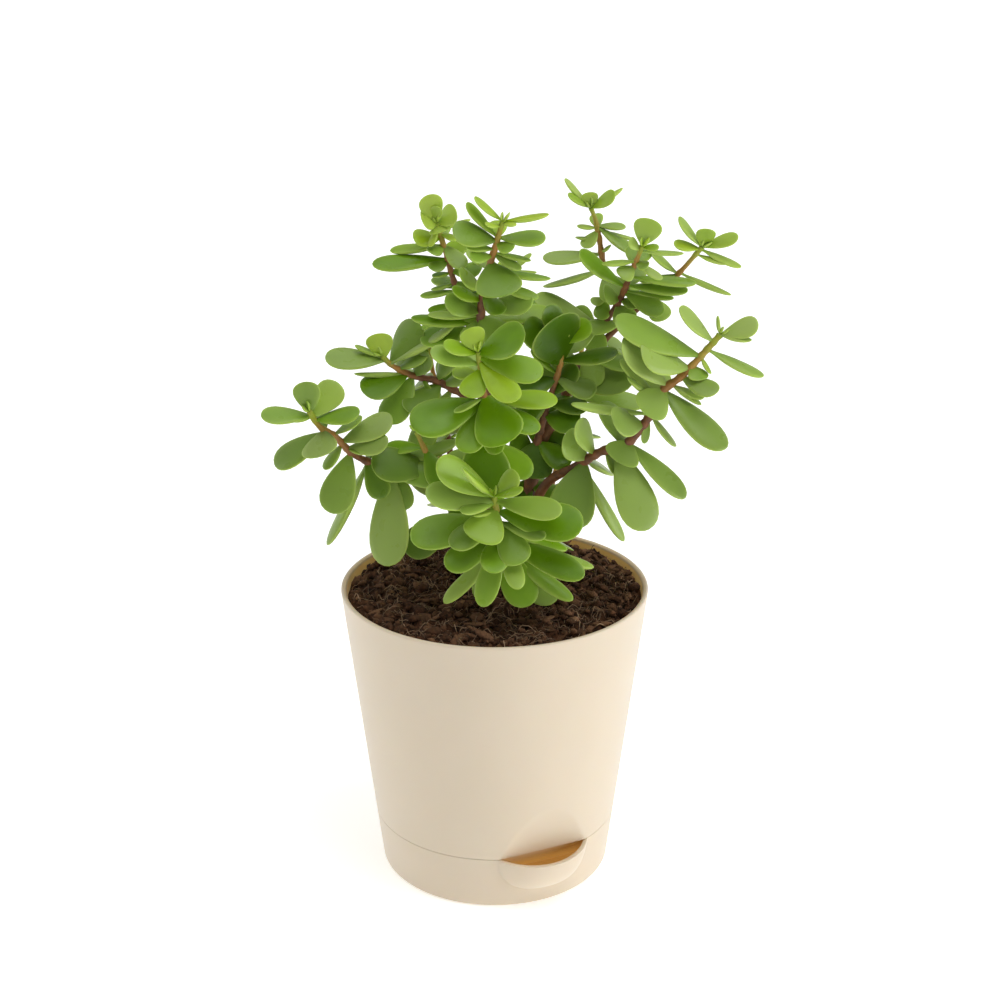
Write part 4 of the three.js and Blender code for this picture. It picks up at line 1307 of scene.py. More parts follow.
@dataclass(frozen=True)
class Branch:
    """A round shoot or stem that tapers along a route.

    Attributes:
        name: The CAD node that it stands for.
        route: Points that it passes, from its foot to its tip, in millimetres.
        radii: Its radii at the foot and at the tip, in millimetres.
        around: Number of points round a ring.
        per_mm: Rings per millimetre of its length.
        waver: How its surface wavers: depth, lobes round a ring, and their turn per millimetre.
    """

    name: str
    route: tuple[Triple, ...]
    radii: Span
    _: KW_ONLY
    around: int = 10
    per_mm: float = 1.3
    waver: tuple[float, int, float] = (0.04, 2, 0.1)

    def travel(self, route: Route) -> np.ndarray:
        """Return how far along the route each ring is, in millimetres."""
        length = route.length / MM
        return np.linspace(0.0, 1.0, int(length * self.per_mm)) * length

    def skin(self, route: Route, travel: np.ndarray, swell: np.ndarray, phase: float,
             youth: np.ndarray) -> Skin:
        """Build the bark: taper * swell * (1 + depth * sin(lobes * angle + turn * travel + phase)).

        Args:
            route: The branch's route.
            travel: How far along it the rings are, in millimetres.
            swell: How much thicker than the taper each ring is.
            phase: Where the lobes start, in radians.
            youth: How young the bark is at each ring, from 0 to 1.

        Returns:
            The skin.
        """
        share = travel / travel[-1]
        depth, lobes, turn = self.waver
        taper = self.radii[0] + (self.radii[1] - self.radii[0]) * share
        waver = depth * np.sin(lobes * circle(self.around) + travel[:, None] * turn + phase)
        rings = route.tube(share, (taper * swell)[:, None] * (1 + waver) * MM)
        return Skin(rings[None], {"youth": youth[None, :, None]})


@dataclass(frozen=True)
class Stem(Branch):
    """A rooted woody stem with ring scars where its first leaves fell."""

    around: int = 14
    per_mm: float = 1.6
    waver: tuple[float, int, float] = (0.05, 3, 0.12)
    first_scar: float = 14.0
    scar_spacing: float = 7.5
    scar_drift: float = 1.2
    scar_width: float = 0.8
    scar_swell: float = 0.09
    flare_place: float = 9.0  # about where the stem leaves the soil
    flare_width: float = 5.0
    flare_swell: float = 0.06
    top_youth: float = 0.18
    scar_youth: float = 0.1

    def build(self, bark: bpy.types.Material) -> None:
        """Build the stem: the radius tapers, swells at the scars and flares into the soil.

        Args:
            bark: Its finish.
        """
        rng = np.random.default_rng(sum(map(ord, self.name)))
        route = Route(self.route)
        travel = self.travel(route)
        scars = np.arange(self.first_scar, travel[-1], self.scar_spacing)
        scars = scars + rng.normal(0.0, self.scar_drift, len(scars))
        scar = nearness(travel, scars, self.scar_width).sum(axis=1)
        flare = nearness(travel, self.flare_place, self.flare_width)[:, 0]
        swell = 1 + self.scar_swell * scar + self.flare_swell * flare
        youth = self.top_youth * (travel / travel[-1]) ** 2 + self.scar_youth * scar
        skin = self.skin(route, travel, swell, rng.uniform(0, 6), youth)
        Piece(f"{self.name}_bark", [skin], bark, Slot.STEM, self.name).build()


@dataclass
class Sprig:
    """The places of one shoot's leaves: a row for each leaf.

    Attributes:
        base: Where it starts, in metres.
        along: Its direction.
        upper: The direction that its upper face looks in.
        across: The direction across it.
        length: Its length in millimetres.
        breadth: How broad it is, against the usual leaf of its length.
        youth: How young its colour is, from 0 to 1.
        pale: How grey its colour is, from 0 to 1; partly older leaves' tone, partly painted sheen.
    """

    base: np.ndarray
    along: np.ndarray
    upper: np.ndarray
    across: np.ndarray
    length: np.ndarray
    breadth: np.ndarray
    youth: np.ndarray
    pale: np.ndarray


@dataclass(frozen=True)
class LeafForm:
    """The form of a leaf, in millimetres and shares of its length: a plump obovate paddle."""

    width_base: float = 2.0
    width_rate: float = 0.37
    thick_base: float = 1.0
    thick_rate: float = 0.072
    stalk_base: float = 0.4
    stalk_rate: float = 0.014
    stalk_sizes: Span = (1.05, 1.6)  # half width and thickness of the stalk, against its size
    stalk_ends: Span = (0.22, 0.35)  # places where its width and its thickness have faded out
    opening: float = 0.8  # power with which the outline opens at the base
    closing: float = 2.6  # power with which it closes at the tip
    peak: float = 0.5862  # its greatest value before it is scaled to 1
    base_share: float = 0.3  # thickness at the base, against the full one
    filling: Span = (0.02, 0.45)  # places over which the leaf gets its full thickness
    thinning: float = 3.4  # power with which it thins at the tip
    stations: int = 15
    crowding: Span = (0.96, 0.02)  # factor and start of the angle that draws stations to both ends
    last_station: float = 0.998
    section: tuple[float, ...] = (0, 9, 24, 50, 90, 130, 156, 171, 180, 189, 204, 230, 270, 310, 336, 351)
    upper_share: float = 0.4  # part of the thickness above the widest line
    fullness: float = 0.85  # below 1 the section is fuller than an ellipse
    camber: Span = (0.03, 0.06)  # curve across the leaf: the usual one and its deviation
    cup: Span = (0.07, 0.02)  # lift of the tip: the usual one and its deviation
    twist: float = 6.0  # deviation in degrees
    sway: float = 0.012
    painted_edge_line: Span = (0.05, 0.5)  # width of the line of painted light at the edge, and where it has faded out
    painted_thin_edge: float = 3.2  # width of the band of painted light where light would come through the thin edge
    line_share: float = 0.78  # how much of the margin value is the line, against the thin part
    margin_span: Span = (0.1, 0.4)  # places over which the painted light at the edge sets in
    under_span: Span = (-0.1, 0.35)  # depths round the section over which the underside's colour sets in

    def along(self) -> np.ndarray:
        """Return the stations from the base, 0, to almost the tip: (1 - cos t) / 2, stretched to fit."""
        factor, start = self.crowding
        s = 0.5 - 0.5 * np.cos(np.linspace(0.0, np.pi, self.stations) * factor + start)[None, :, None]
        return (s - s.min()) / (s.max() - s.min()) * self.last_station

    def outline(self, s: np.ndarray) -> np.ndarray:
        """Return the half width from 0 to 1: s ** opening * sqrt(1 - s ** closing), over its peak."""
        return s**self.opening * np.sqrt(np.maximum(1.0 - s**self.closing, 0.0)) / self.peak

    def sizes(self, s: np.ndarray, length: np.ndarray,
              breadth: np.ndarray) -> tuple[np.ndarray, np.ndarray]:
        """Return the half width and the thickness, which go over into a stalk at the base.

        The half width is 0.5 * width * outline(s). The thickness is full * r * sqrt(1 - s ** thinning),
        where r goes from its share at the base to 1. At the base each is at least the stalk's, which
        fades out.

        Args:
            s: Stations from 0 to 1.
            length: Lengths of the leaves.
            breadth: How broad the leaves are.

        Returns:
            Both, of shape (leaves, stations, 1).
        """
        stalk = self.stalk_base + self.stalk_rate * length
        width = (self.width_base + self.width_rate * length) * breadth
        stalk_width = stalk * (1.0 - smoothstep(s, 0.0, self.stalk_ends[0])) * self.stalk_sizes[0]
        half_width = np.maximum(0.5 * width * self.outline(s), stalk_width)
        full = self.thick_base + self.thick_rate * length
        filled = self.base_share + (1.0 - self.base_share) * smoothstep(s, *self.filling)
        plump = full * filled * np.sqrt(1.0 - s**self.thinning)
        stalk_depth = self.stalk_sizes[1] * stalk * (1.0 - smoothstep(s, 0.0, self.stalk_ends[1]))
        return half_width, np.maximum(plump, stalk_depth)

    def skin(self, sprig: Sprig, rng: np.random.Generator) -> Skin:
        """Build all leaves of a sprig at once.

        At a station s the point at angle a of the section is base + along * L * s
        + across * (w(s) * cos a + sway * L * s * s) + upper * (t(s) * |sin a| ** fullness
        + cup * L * s * s + camber * w(s) * cos a * cos a), with the section turned by a twist that
        grows with s.

        Args:
            sprig: Where the leaves are, which way they turn and how long they are.
            rng: Source of the draws.

        Returns:
            The skin with its copies.
        """
        length, breadth, youth, pale = (
            numbers[:, None, None] for numbers in (sprig.length, sprig.breadth, sprig.youth, sprig.pale))
        s = self.along()
        angle = np.radians(self.section)
        half_width, plump = self.sizes(s, length, breadth)
        draws = rng.normal(0.0, 1.0, (4, len(length), 1, 1)).clip(-2, 2)
        across = half_width * np.cos(angle)
        rise = np.abs(np.sin(angle)) ** self.fullness
        upper = np.where(np.sin(angle) > 0, self.upper_share, self.upper_share - 1.0) * plump * rise
        upper = upper + (self.camber[0] + self.camber[1] * draws[0]) * half_width * np.cos(angle) ** 2
        twist = np.radians(self.twist) * draws[1] * s
        lifted = (self.cup[0] + self.cup[1] * draws[2]) * length * s**2
        swayed = self.sway * draws[3] * length * s**2
        local = (
            length * s,
            across * np.cos(twist) - upper * np.sin(twist) + swayed,
            across * np.sin(twist) + upper * np.cos(twist) + lifted,
        )
        axes = (sprig.along, sprig.across, sprig.upper)
        offsets = [part[..., None] * axis[:, None, None] * MM for part, axis in zip(local, axes)]
        # painted light along the margin: a line at the edge and a band where the leaf is thin
        from_edge = half_width * (1.0 - np.abs(np.cos(angle)))
        line = 1.0 - smoothstep(from_edge, *self.painted_edge_line)
        thin = 1.0 - smoothstep(from_edge, 0.0, self.painted_thin_edge)
        margin = self.line_share * line + (1.0 - self.line_share) * thin
        return Skin(sum(offsets, start=sprig.base[:, None, None]), {
            "margin": margin * smoothstep(s, *self.margin_span),
            "underside": smoothstep(-np.sin(angle), *self.under_span),
            "youth": youth,
            "pale": pale,
        })


@dataclass(frozen=True)
class Shoot(Branch):
    """A leafy shoot.

    A leaf row is (place along the shoot from 0 to 1, clock, forward, length, facing, breadth). Clock is
    the direction in the front view, in degrees from +X towards +Z. Forward is the lean towards the
    front, in degrees. Facing turns the upper face to the front. Breadth, 1 if left out, widens the leaf.
    """

    leaves: tuple[tuple[float, ...], ...]
    fresh: float = 0.12  # how bright its leaves are, from 0 to 1
    pale: float = 0.1  # how grey its leaves are, from 0 to 1; partly older leaves' tone, partly painted sheen

    outlook: Span = (0.5, 0.5)  # how much an upper face looks along the shoot, and how much up
    buds: Span = (4.0, 3.2)  # lengths of the two bud leaves at the tip
    bud_lean: float = 0.45
    bud_view: float = 0.3  # height of the direction from which the buds are seen side by side
    young_from: float = 0.78  # place along the shoot past which leaves are young
    young_lengths: Span = (8.0, 22.0)  # a leaf is young up to the first, grown from the second
    young_gain: float = 0.4  # what being young adds to the youth value
    place_gain: float = 0.1  # what the place along the shoot adds to it
    youth_spread: float = 0.13
    pale_spread: float = 0.17
    palest: float = 0.8
    joint_width: float = 1.1
    joint_swell: float = 0.24
    joint_youth: float = 0.06
    thin: float = 0.78  # radius between the joints, against the CAD model's
    greening: Span = (0.4, 1.1)  # places along the twig between which it turns young

    def sprig(self, route: Route, rng: np.random.Generator) -> Sprig:
        """Place the leaves of the table, and a pair of bud leaves at the tip.

        A leaf's upper face looks along a * heading + b * up + facing * front, less what of that lies
        along the leaf. A bud grows along heading + lean * side, and its upper face looks inwards.

        Args:
            route: The shoot's route.
            rng: Source of the draws.

        Returns:
            The places.
        """
        rows = np.array([(*row, 1.0)[:6] for row in self.leaves])
        place, clock, forward, length, facing, breadth = rows.T
        clock, forward = np.radians(clock), np.radians(forward)
        along = np.stack([np.cos(forward) * np.cos(clock), -np.sin(forward),
                          np.cos(forward) * np.sin(clock)], axis=-1)
        upper = self.outlook[0] * route.heading(place) + self.outlook[1] * UP + facing[:, None] * FRONT
        tip = route.heading(np.ones(2))
        side = unit(np.cross(tip, FRONT + self.bud_view * UP)) * np.array([[1.0], [-1.0]])
        along = np.concatenate([along, unit(tip + self.bud_lean * side)])
        upper = np.concatenate([upper, tip - side])
        upper = unit(upper - (upper * along).sum(axis=-1, keepdims=True) * along)
        place = np.concatenate([place, [1.0, 1.0]])
        length = np.concatenate([length, self.buds])
        young = smoothstep(place, self.young_from, 1.0) * (1.0 - smoothstep(length, *self.young_lengths))
        youth = self.fresh + self.young_gain * young + self.place_gain * place
        youth = youth + rng.normal(0.0, self.youth_spread, len(place))
        return Sprig(
            base=route.at(place),
            along=along,
            upper=upper,
            across=np.cross(upper, along),
            length=length,
            breadth=np.concatenate([breadth, [1.0, 1.0]]),
            youth=youth.clip(0.0, 1.0),
            pale=(self.pale + rng.normal(0.0, self.pale_spread, len(place))).clip(0.0, self.palest),
        )

    def twig(self, route: Route, rng: np.random.Generator) -> Skin:
        """Build the twig: the radius tapers and swells at each pair of leaves.

        Args:
            route: The shoot's route.
            rng: Source of the draws.

        Returns:
            The skin. Its youth grows to the tip.
        """
        travel = self.travel(route)
        joints = np.array([row[0] for row in self.leaves]) * travel[-1]
        near = nearness(travel, joints, self.joint_width).max(axis=1)
        youth = smoothstep(travel / travel[-1], *self.greening) + self.joint_youth * near
        return self.skin(route, travel, self.thin + self.joint_swell * near, rng.uniform(0, 6), youth)

    def build(self, form: LeafForm, bark: bpy.types.Material, flesh: bpy.types.Material) -> None:
        """Build the twig and its leaves.

        Args:
            form: The leaves' form.
            bark: Finish of the twig.
            flesh: Finish of the leaves.
        """
        rng = np.random.default_rng(sum((i + 1) * ord(c) for i, c in enumerate(self.name)))
        route = Route(self.route)
        leaves = form.skin(self.sprig(route, rng), rng)
        Piece(f"{self.name}_leaves", [leaves], flesh, Slot.LEAF, self.name).build()
        Piece(f"{self.name}_twig", [self.twig(route, rng)], bark, Slot.STEM, self.name).build()


# Rooted stems. Each route runs from under the soil to the top, in millimetres.
STEMS = (
    Stem("stem_left", ((-9, 5, 98), (-9, 5, 114), (-10, 4, 128), (-13, 3, 142)), (3, 2.4)),
    Stem("stem_centre", ((0, 7, 97), (-1, 6, 124), (-3, 3, 158), (-4, 2, 192)), (3.7, 2.3)),
    Stem("stem_right", ((9, 6, 98), (10, 5, 124), (13, 5, 150), (18, 7, 167), (24, 8, 182)), (3.5, 2.2)),
)

SHOOTS = (
    Shoot(
        "shoot_left_low",
        ((-12, 3, 136), (-23, -6, 154), (-35, -8, 160), (-46.2, -10, 165), (-51.6, -13, 169.5),
         (-56.6, -15, 176.2), (-61.4, -16, 179.5), (-65, -20, 187.1)),
        (2.4, 1.1),
        (
            (0.98, 98, 0, 12.2, 1, 1.5), (0.96, 51, -25, 15.1, 0.9, 1.5), (0.94, 11, 10, 17.1, 0.4),
            (0.97, 180, 10, 17.8, 0.3), (0.96, 192, 20, 7.5, 0.3, 0.31), (0.85, 215, 5, 22.4, 0.5, 1.2),
            (0.87, 264, 60, 14, 1, 1.9), (0.76, 235, 20, 11.3, 0.4, 0.94),
            (0.82, 28, -10, 12.1, 0.1, 1.2), (0.77, 23, -5, 20.4, 0.6, 1.2), (0.73, 11, 20, 17.4, 0.6),
            (0.73, 358, 30, 9.5, 0.3, 0.6), (0.7, 252, 20, 22.9, 1, 1.3), (0.6, 246, 0, 35.8, 0.1, 0.46),
            (0.61, 297, 20, 15, 0.9, 1.2), (0.49, 269, 15, 34.9, 0.9, 1.1), (0.45, 283, 25, 14, 0.9, 1.1),
            (0.56, 350, 10, 26.8, 0.6, 0.81), (0.53, 13, -10, 28.6, 0.4, 0.58),
            (0.42, 309, -30, 19.4, 0.2, 0.56), (0.86, 120, -60, 14, 0), (0.5, 240, -55, 20, 0),
            (0.6, 60, -60, 15, 0),
        ),
        fresh=0.06, pale=0.3,
    ),
    Shoot(
        "shoot_left_mid",
        ((-4, 3, 176), (-11, 4, 185), (-16.8, 4, 188.5), (-21.6, 5, 190.8), (-27.8, 6, 191.6),
         (-33.5, 6, 193.9), (-37.8, 6, 196.6), (-40.6, 6, 199.6)),
        (1.9, 1),
        (
            (0.95, 180, 0, 22.1, 0.5, 1.1), (0.98, 161, -10, 11.4, 0.2, 0.46),
            (0.97, 104, 0, 9.9, 1, 1.8), (0.91, 53, -10, 18.4, 0.9, 1.5), (0.91, 30, 10, 29.4, 0.2, 0.43),
            (0.83, 31, 10, 13.7, 0.5, 1.1), (0.76, 184, 5, 18.9, 0, 0.25),
            (0.74, 200, 20, 18.4, 0.5, 1.6), (0.69, 66, 15, 12.2, 0.8, 1.7),
            (0.7, 243, 20, 19.9, 0.8, 1.4), (0.63, 305, 30, 8, 0.3, 0.52),
            (0.47, 219, 30, 16.9, 0.8, 1.7), (0.51, 60, 15, 13.9, 0.8, 1.2),
            (0.45, 25, 20, 11.3, 0.7, 1.2), (0.37, 240, 10, 28, 0.8, 0.91),
            (0.25, 244, -15, 21.9, 0.5, 0.88), (0.8, 100, -65, 12, 0), (0.55, 227, -60, 15, 0, 1.2),
            (0.35, 120, -55, 16, 0),
        ),
        fresh=0.1, pale=0.32,
    ),
    Shoot(
        "shoot_top_left",
        ((-4, 2, 186), (-9, 5, 211), (-14.8, 8, 227.9), (-16.9, 10, 235.1), (-19, 11, 242.1),
         (-20.3, 10, 247.3)),
        (1.8, 1),
        (
            (1, 107, 10, 11.3, 0.8, 1.4), (0.99, 37, 5, 8.7, 0.6, 1.9), (1, 158, 30, 7.2, 0.8, 2),
            (0.99, 292, 50, 4.1, 1, 2.1), (1, 91, 20, 7.3, 0.8, 0.94), (0.97, 10, 0, 11.8, 0.1, 0.46),
            (0.91, 179, 15, 10.4, 0.8, 1.4), (0.98, 250, 30, 8.3, 0, 0.6), (0.86, 194, 45, 7.3, 1, 1.3),
            (0.87, 192, -10, 19.6, 0.3, 0.66), (0.79, 185, 5, 26.9, 0.55, 0.77),
            (0.78, 201, 35, 8.3, 0.9, 1.2), (0.71, 190, 15, 7.2, 0.4, 0.89),
            (0.65, 197, 10, 8.8, 0.3, 0.58), (0.61, 192, 0, 13.4, 0.3, 0.66),
            (0.53, 194, 5, 12.5, 0.6, 0.67), (0.87, 316, 30, 12.3, 0.9), (0.94, 337, 10, 7, 0.2, 0.94),
            (0.66, 342, 20, 9.5, 0.5), (0.72, 4, 15, 11.6, 0.6, 1.5), (0.54, 324, 35, 10, 1, 1.7),
            (0.9, 100, -70, 9, 0, 1.4), (0.76, 50, -55, 13, 0, 1.6), (0.62, 183, -60, 15, 0),
            (0.42, 60, -60, 16, 0),
        ),
        fresh=0.38, pale=0.3,
    ),
    Shoot(
        "shoot_top_centre",
        ((-4, 2, 190), (-5, 1, 208), (-4.2, -1, 223), (-1.5, -5, 235.7), (1.7, -8, 247.4),
         (3, -9, 252.1)),
        (2.2, 1),
        (
            (1, 144, -5, 12.8, 0.1, 0.77), (1, 6, 5, 16.1, 0.1, 0.66), (0.99, 356, 40, 6.1, 0.4, 0.69),
            (0.97, 171, 35, 7.2, 0.5, 0.63), (0.9, 138, -10, 16.1, 0.2, 0.66),
            (0.9, 356, 5, 16.5, 0.35, 1.1), (0.88, 166, 10, 16.4, 0.7, 1.4),
            (0.87, 342, 45, 8.1, 0.9, 1.2), (0.81, 347, 10, 13.4, 0.2, 0.48),
            (0.8, 332, 20, 11.6, 0.5, 0.77), (0.75, 291, 45, 15.9, 1, 2.1),
            (0.71, 345, 0, 21.7, 0.1, 0.48), (0.69, 351, -15, 17.6, 0.1, 0.26),
            (0.63, 342, 15, 19.7, 0.6, 0.48), (0.79, 179, 40, 10.7, 1, 0.87),
            (0.54, 319, 40, 11.8, 1, 1.2), (0.47, 7, 25, 20.7, 0.9), (0.56, 142, 20, 12.8, 0.6, 1.2),
            (0.5, 157, 25, 13.1, 0.7), (0.83, 172, 25, 11.2, 0.4, 0.72), (0.9, 93, -65, 9, 0, 1.2),
            (0.7, 150, -60, 14, 0, 1.2), (0.5, 165, -70, 14, 0), (0.43, 159, 25, 15.6, 0.9, 1.2),
            (0.39, 255, 40, 11.7, 1, 1.9), (0.41, 181, 0, 18.8, 0.4, 0.54),
            (0.37, 183, -5, 24.7, 0.3, 0.64), (0.32, 193, -10, 22.2, 0.5, 1.1),
            (0.41, 313, 30, 11.1, 0.8, 2), (0.39, 2, -10, 25.2, 0.3, 0.92),
        ),
        fresh=0.4, pale=0.26,
    ),
    Shoot(
        "shoot_front_centre",
        ((-3, 3, 156), (-5, -16, 174), (-4, -25, 187), (-3.5, -28, 195.5), (-4.5, -30, 204),
         (-5.5, -31, 211.8)),
        (2, 1),
        (
            (0.99, 164, 15, 13.1, 0.6), (0.99, 23, 10, 18.2, 0.7, 1.9), (1, 108, 0, 9, 0.9, 1.7),
            (0.97, 345, 10, 22.8, 0.7, 1.1), (0.95, 318, 40, 21.5, 0.7), (0.93, 165, 10, 18.1, 0.7, 0.93),
            (0.91, 243, 50, 13.8, 0.9, 1.3), (0.87, 178, -5, 10.1, 0.5, 1.2),
            (0.74, 199, 35, 13.2, 0.3, 0.43), (0.75, 300, 40, 20.7, 1, 1.8),
            (0.74, 356, 0, 25.4, 0.5, 0.78), (0.72, 195, 20, 27.5, 0.8, 1.25),
            (0.7, 246, 40, 20.1, 0.8, 1.1), (0.71, 334, 20, 22, 0.6, 0.88),
            (0.53, 310, 30, 11.7, 0.9, 1.1), (0.51, 276, 15, 22, 1, 1.8), (0.41, 323, -5, 22.4, 0.8),
            (0.32, 209, 0, 14.2, 0.7, 1.2), (0.82, 120, -50, 14, 0), (0.55, 30, -35, 18, 0),
        ),
        fresh=0.36, pale=0.05,
    ),
    Shoot(
        "shoot_front_low",
        ((4, -6, 98), (5, -9, 112), (4, -22, 130), (2.7, -30, 142.4), (1.3, -34, 152),
         (-0.1, -36, 161.3)),
        (2.6, 1.1),
        (
            (1, 145, 15, 26.2, 0.9), (1, 130, 40, 24.3, 0.5, 0.54), (0.97, 171, 15, 25.7, 0.8),
            (0.96, 180, 40, 15.9, 0.4, 0.65), (1, 47, 10, 12.7, 0.9, 1.1), (1, 27, 40, 15.4, 0.4, 0.57),
            (0.97, 360, 25, 25.9, 0.8, 0.8), (0.91, 354, 15, 31.2, 0.7, 1.1),
            (0.93, 235, 45, 15.4, 1, 1.9), (0.91, 178, 40, 10.4, 0.2, 0.32),
            (0.89, 211, 20, 20.1, 0.7, 1.1), (0.86, 194, 0, 31.4, 0.8), (0.79, 253, 55, 19.1, 0.9, 1.1),
            (0.77, 255, 30, 27.1, 0.6, 0.74), (0.79, 212, 20, 23.5, 0.8),
            (0.68, 224, 15, 29.3, 0.3, 0.49), (0.63, 245, 0, 20.8, 0.8), (0.85, 354, 35, 20.4, 0.5, 0.62),
            (0.83, 309, 45, 18.1, 1, 1.3), (0.75, 297, 50, 23.9, 0.8, 0.65),
            (0.68, 292, 20, 23.6, 1, 1.2), (0.54, 322, 10, 23.3, 0.8, 1.1),
            (0.73, 340, 20, 32.9, 0.8, 0.7), (0.65, 323, 15, 30.7, 0.2, 0.5),
            (0.72, 336, -10, 35.9, 0.2, 0.34), (0.83, 333, -10, 26.9, 0.3, 0.49), (0.86, 100, -40, 14, 0),
            (0.6, 160, -30, 17, 0),
        ),
        fresh=0.32, pale=0.16,
    ),
    Shoot(
        "shoot_right_top",
        ((24, 8, 178), (34, 10, 199), (40.5, 12, 222.5), (38.9, 13, 232.5), (36.2, 14, 246.8),
         (34.3, 13, 252.1)),
        (2, 1),
        (
            (1, 138, -10, 13.9, 0, 0.5), (1, 151, 10, 10.1, 0.3, 0.77), (1, 32, 20, 10.8, 0.5, 1.2),
            (1, 27, -10, 13.3, 0, 0.5), (1, 98, 0, 5.8, 0.4, 1.5), (0.9, 177, 10, 7.5, 0.4, 0.62),
            (0.85, 183, 0, 8.6, 0.1, 0.5), (0.91, 357, 5, 10.4, 0.4, 0.79),
            (0.91, 325, 15, 18.2, 0.1, 0.86), (0.89, 341, -10, 14.1, 0.1, 0.5),
            (0.89, 234, 20, 8.3, 0.3, 1.3), (0.78, 187, 5, 21.2, 0.5, 0.76),
            (0.79, 38, 40, 5.2, 0.5, 0.84), (0.71, 201, 0, 22.9, 0.1, 0.62),
            (0.69, 299, 30, 11.6, 0.7, 1.9), (0.57, 192, 30, 6.3, 0.7), (0.58, 252, 35, 9.5, 0.7, 1.1),
            (0.66, 330, -20, 14.4, 0.4, 0.71), (0.45, 212, 30, 18, 0.8), (0.35, 270, 25, 16, 0.8, 1.2),
            (0.3, 347, 20, 18, 0.7), (0.2, 175, 15, 20, 0.7), (0.9, 90, -70, 8.5, 0),
            (0.44, 158, 0, 25.6, 0.7, 0.9), (0.44, 176, 15, 30.1, 0.8, 0.95),
            (0.41, 135, -20, 11.8, 0.6, 1.4), (0.44, 259, 20, 9.8, 0.6, 1.6),
        ),
        fresh=0.24, pale=0.44,
    ),
    Shoot(
        "shoot_right_inner",
        ((37.2, 10.4, 207), (44.2, 6, 219.2), (47.9, -4, 232.6), (49.9, -7, 239), (51.1, -9, 243.4)),
        (1.5, 0.9),
        (
            (1, 74, -5, 9.8, 1, 1.8), (0.99, 356, 10, 6, 0.5, 0.88), (0.96, 141, 10, 5.8, 0.5, 1.1),
            (0.95, 354, 0, 15.1, 0.1, 0.29), (0.85, 188, 0, 12, 0.1, 0.69),
            (0.84, 326, 15, 11, 0.4, 0.67), (0.8, 215, 30, 7, 0.6, 1.5), (0.84, 340, 45, 5.7, 0.8, 1.1),
            (0.68, 353, 5, 23.4, 0.2, 0.43), (0.54, 145, 10, 22.3, 0.2, 0.77),
            (0.57, 355, 10, 21.8, 0.4, 0.55), (0.5, 351, 10, 17.8, 0.2, 0.38),
            (0.48, 335, 25, 16.7, 0.9, 0.91), (0.38, 348, 35, 8.7, 0.8, 1.1),
            (0.38, 151, 30, 8.5, 0.7, 1.6), (0.32, 302, 40, 8.9, 1, 1.7), (0.8, 60, -60, 11, 0, 1.6),
            (0.55, 30, -60, 14, 0),
        ),
        fresh=0.28, pale=0.3,
    ),
    Shoot(
        "shoot_right_outer",
        ((22, 8, 178), (33, 11, 196), (45, 9, 210), (55, 7, 220.1), (60.6, 4, 226), (65.5, 1, 231.8),
         (72.6, -2, 241.4)),
        (1.8, 1),
        (
            (1, 133, -5, 13.5, 0.2, 0.87), (0.99, 171, 5, 9.9, 0.35), (1, 78, 15, 7.6, 0.7, 1.5),
            (1, 16, 5, 13.1, 0.6, 0.86), (0.99, 334, 5, 15.7, 0.15, 0.58),
            (0.96, 339, 10, 11.4, 0.2, 0.45), (0.84, 144, 0, 13.1, 0.1, 0.91), (0.85, 333, 5, 20, 0, 0.3),
            (0.84, 193, 10, 14.1, 0.2, 0.46), (0.75, 353, 25, 9, 0.6, 0.76),
            (0.67, 300, 25, 9.7, 0.9, 1.6), (0.5, 187, 15, 14, 0.4), (0.38, 320, -35, 14, 0.3, 1.6),
            (0.24, 150, 10, 16, 0.6), (0.66, 235, -65, 12, 0), (0.15, 4, 15, 23.8, 0.9, 1.5),
            (0.1, 348, 0, 29.4, 0.7, 0.75), (0.13, 115, -5, 9.5, 0.7, 1.7),
        ),
        fresh=0.28, pale=0.42,
    ),
    Shoot(
        "shoot_right_long",
        ((11, 5, 134), (19.6, -2, 154), (29.1, -8, 162), (37.8, -12, 169.1), (46.9, -14, 172.8),
         (54.5, -14, 182.6), (58.4, -14, 191.8), (66.4, -13, 198.1), (72.3, -12, 204.4),
         (79.2, -10, 211.9)),
        (2.4, 1.4),
        (
            (1, 18, 10, 14.1, 0.7, 1.2), (1, 351, 20, 11.4, 0.3, 0.73), (1, 102, 0, 7, 0, 0.6),
            (0.97, 141, 0, 17.7, 0.5, 1.1), (0.94, 334, 10, 22, 0.3, 0.77),
            (0.91, 298, 20, 7.2, 0.2, 0.69), (0.91, 159, 5, 34.2, 0.6), (0.86, 157, 25, 22.8, 0.7, 1.3),
            (0.77, 138, 10, 25.3, 0.7, 1.2), (0.87, 303, 40, 6.7, 0.9, 1.9),
            (0.82, 341, 30, 14.9, 0.9, 1.2), (0.78, 333, 10, 12.6, 0.3, 0.69),
            (0.78, 325, 10, 13.1, 0.3, 0.49), (0.75, 317, 15, 30.3, 0.8), (0.76, 223, 35, 13.3, 0.9, 1.9),
            (0.66, 304, 0, 15.5, 0.2, 0.72), (0.65, 260, 0, 10.1, 0.1, 0.62),
            (0.62, 160, 40, 17.5, 1, 1.4), (0.55, 233, 35, 9.7, 1, 2.4), (0.66, 174, 10, 29.3, 0.4, 0.34),
            (0.71, 144, 10, 14.2, 0.2, 0.46), (0.5, 290, 20, 31.3, 0.9, 1.2),
            (0.54, 315, 5, 29, 0.6, 0.75), (0.46, 296, 10, 10.4, 0.3), (0.38, 250, 25, 25.5, 1, 1.5),
            (0.36, 295, 0, 33.7, 0.3, 0.38), (0.7, 70, -65, 18.1, 0, 1.2), (0.52, 117, -50, 19, 0, 1.6),
            (0.38, 310, -50, 22, 0, 0.91), (0.39, 135, 20, 14.7, 0.9, 1.6), (0.42, 118, 25, 19.5, 0.8),
            (0.72, 140, -10, 18.6, 0.4, 0.54),
        ),
        fresh=0.26, pale=0.48,
    ),
    Shoot(
        "shoot_right_centre",
        ((12, 5, 148), (15, 3, 165), (19, 1, 182), (23, -1, 196), (25, -3, 208)),
        (1.9, 1),
        (
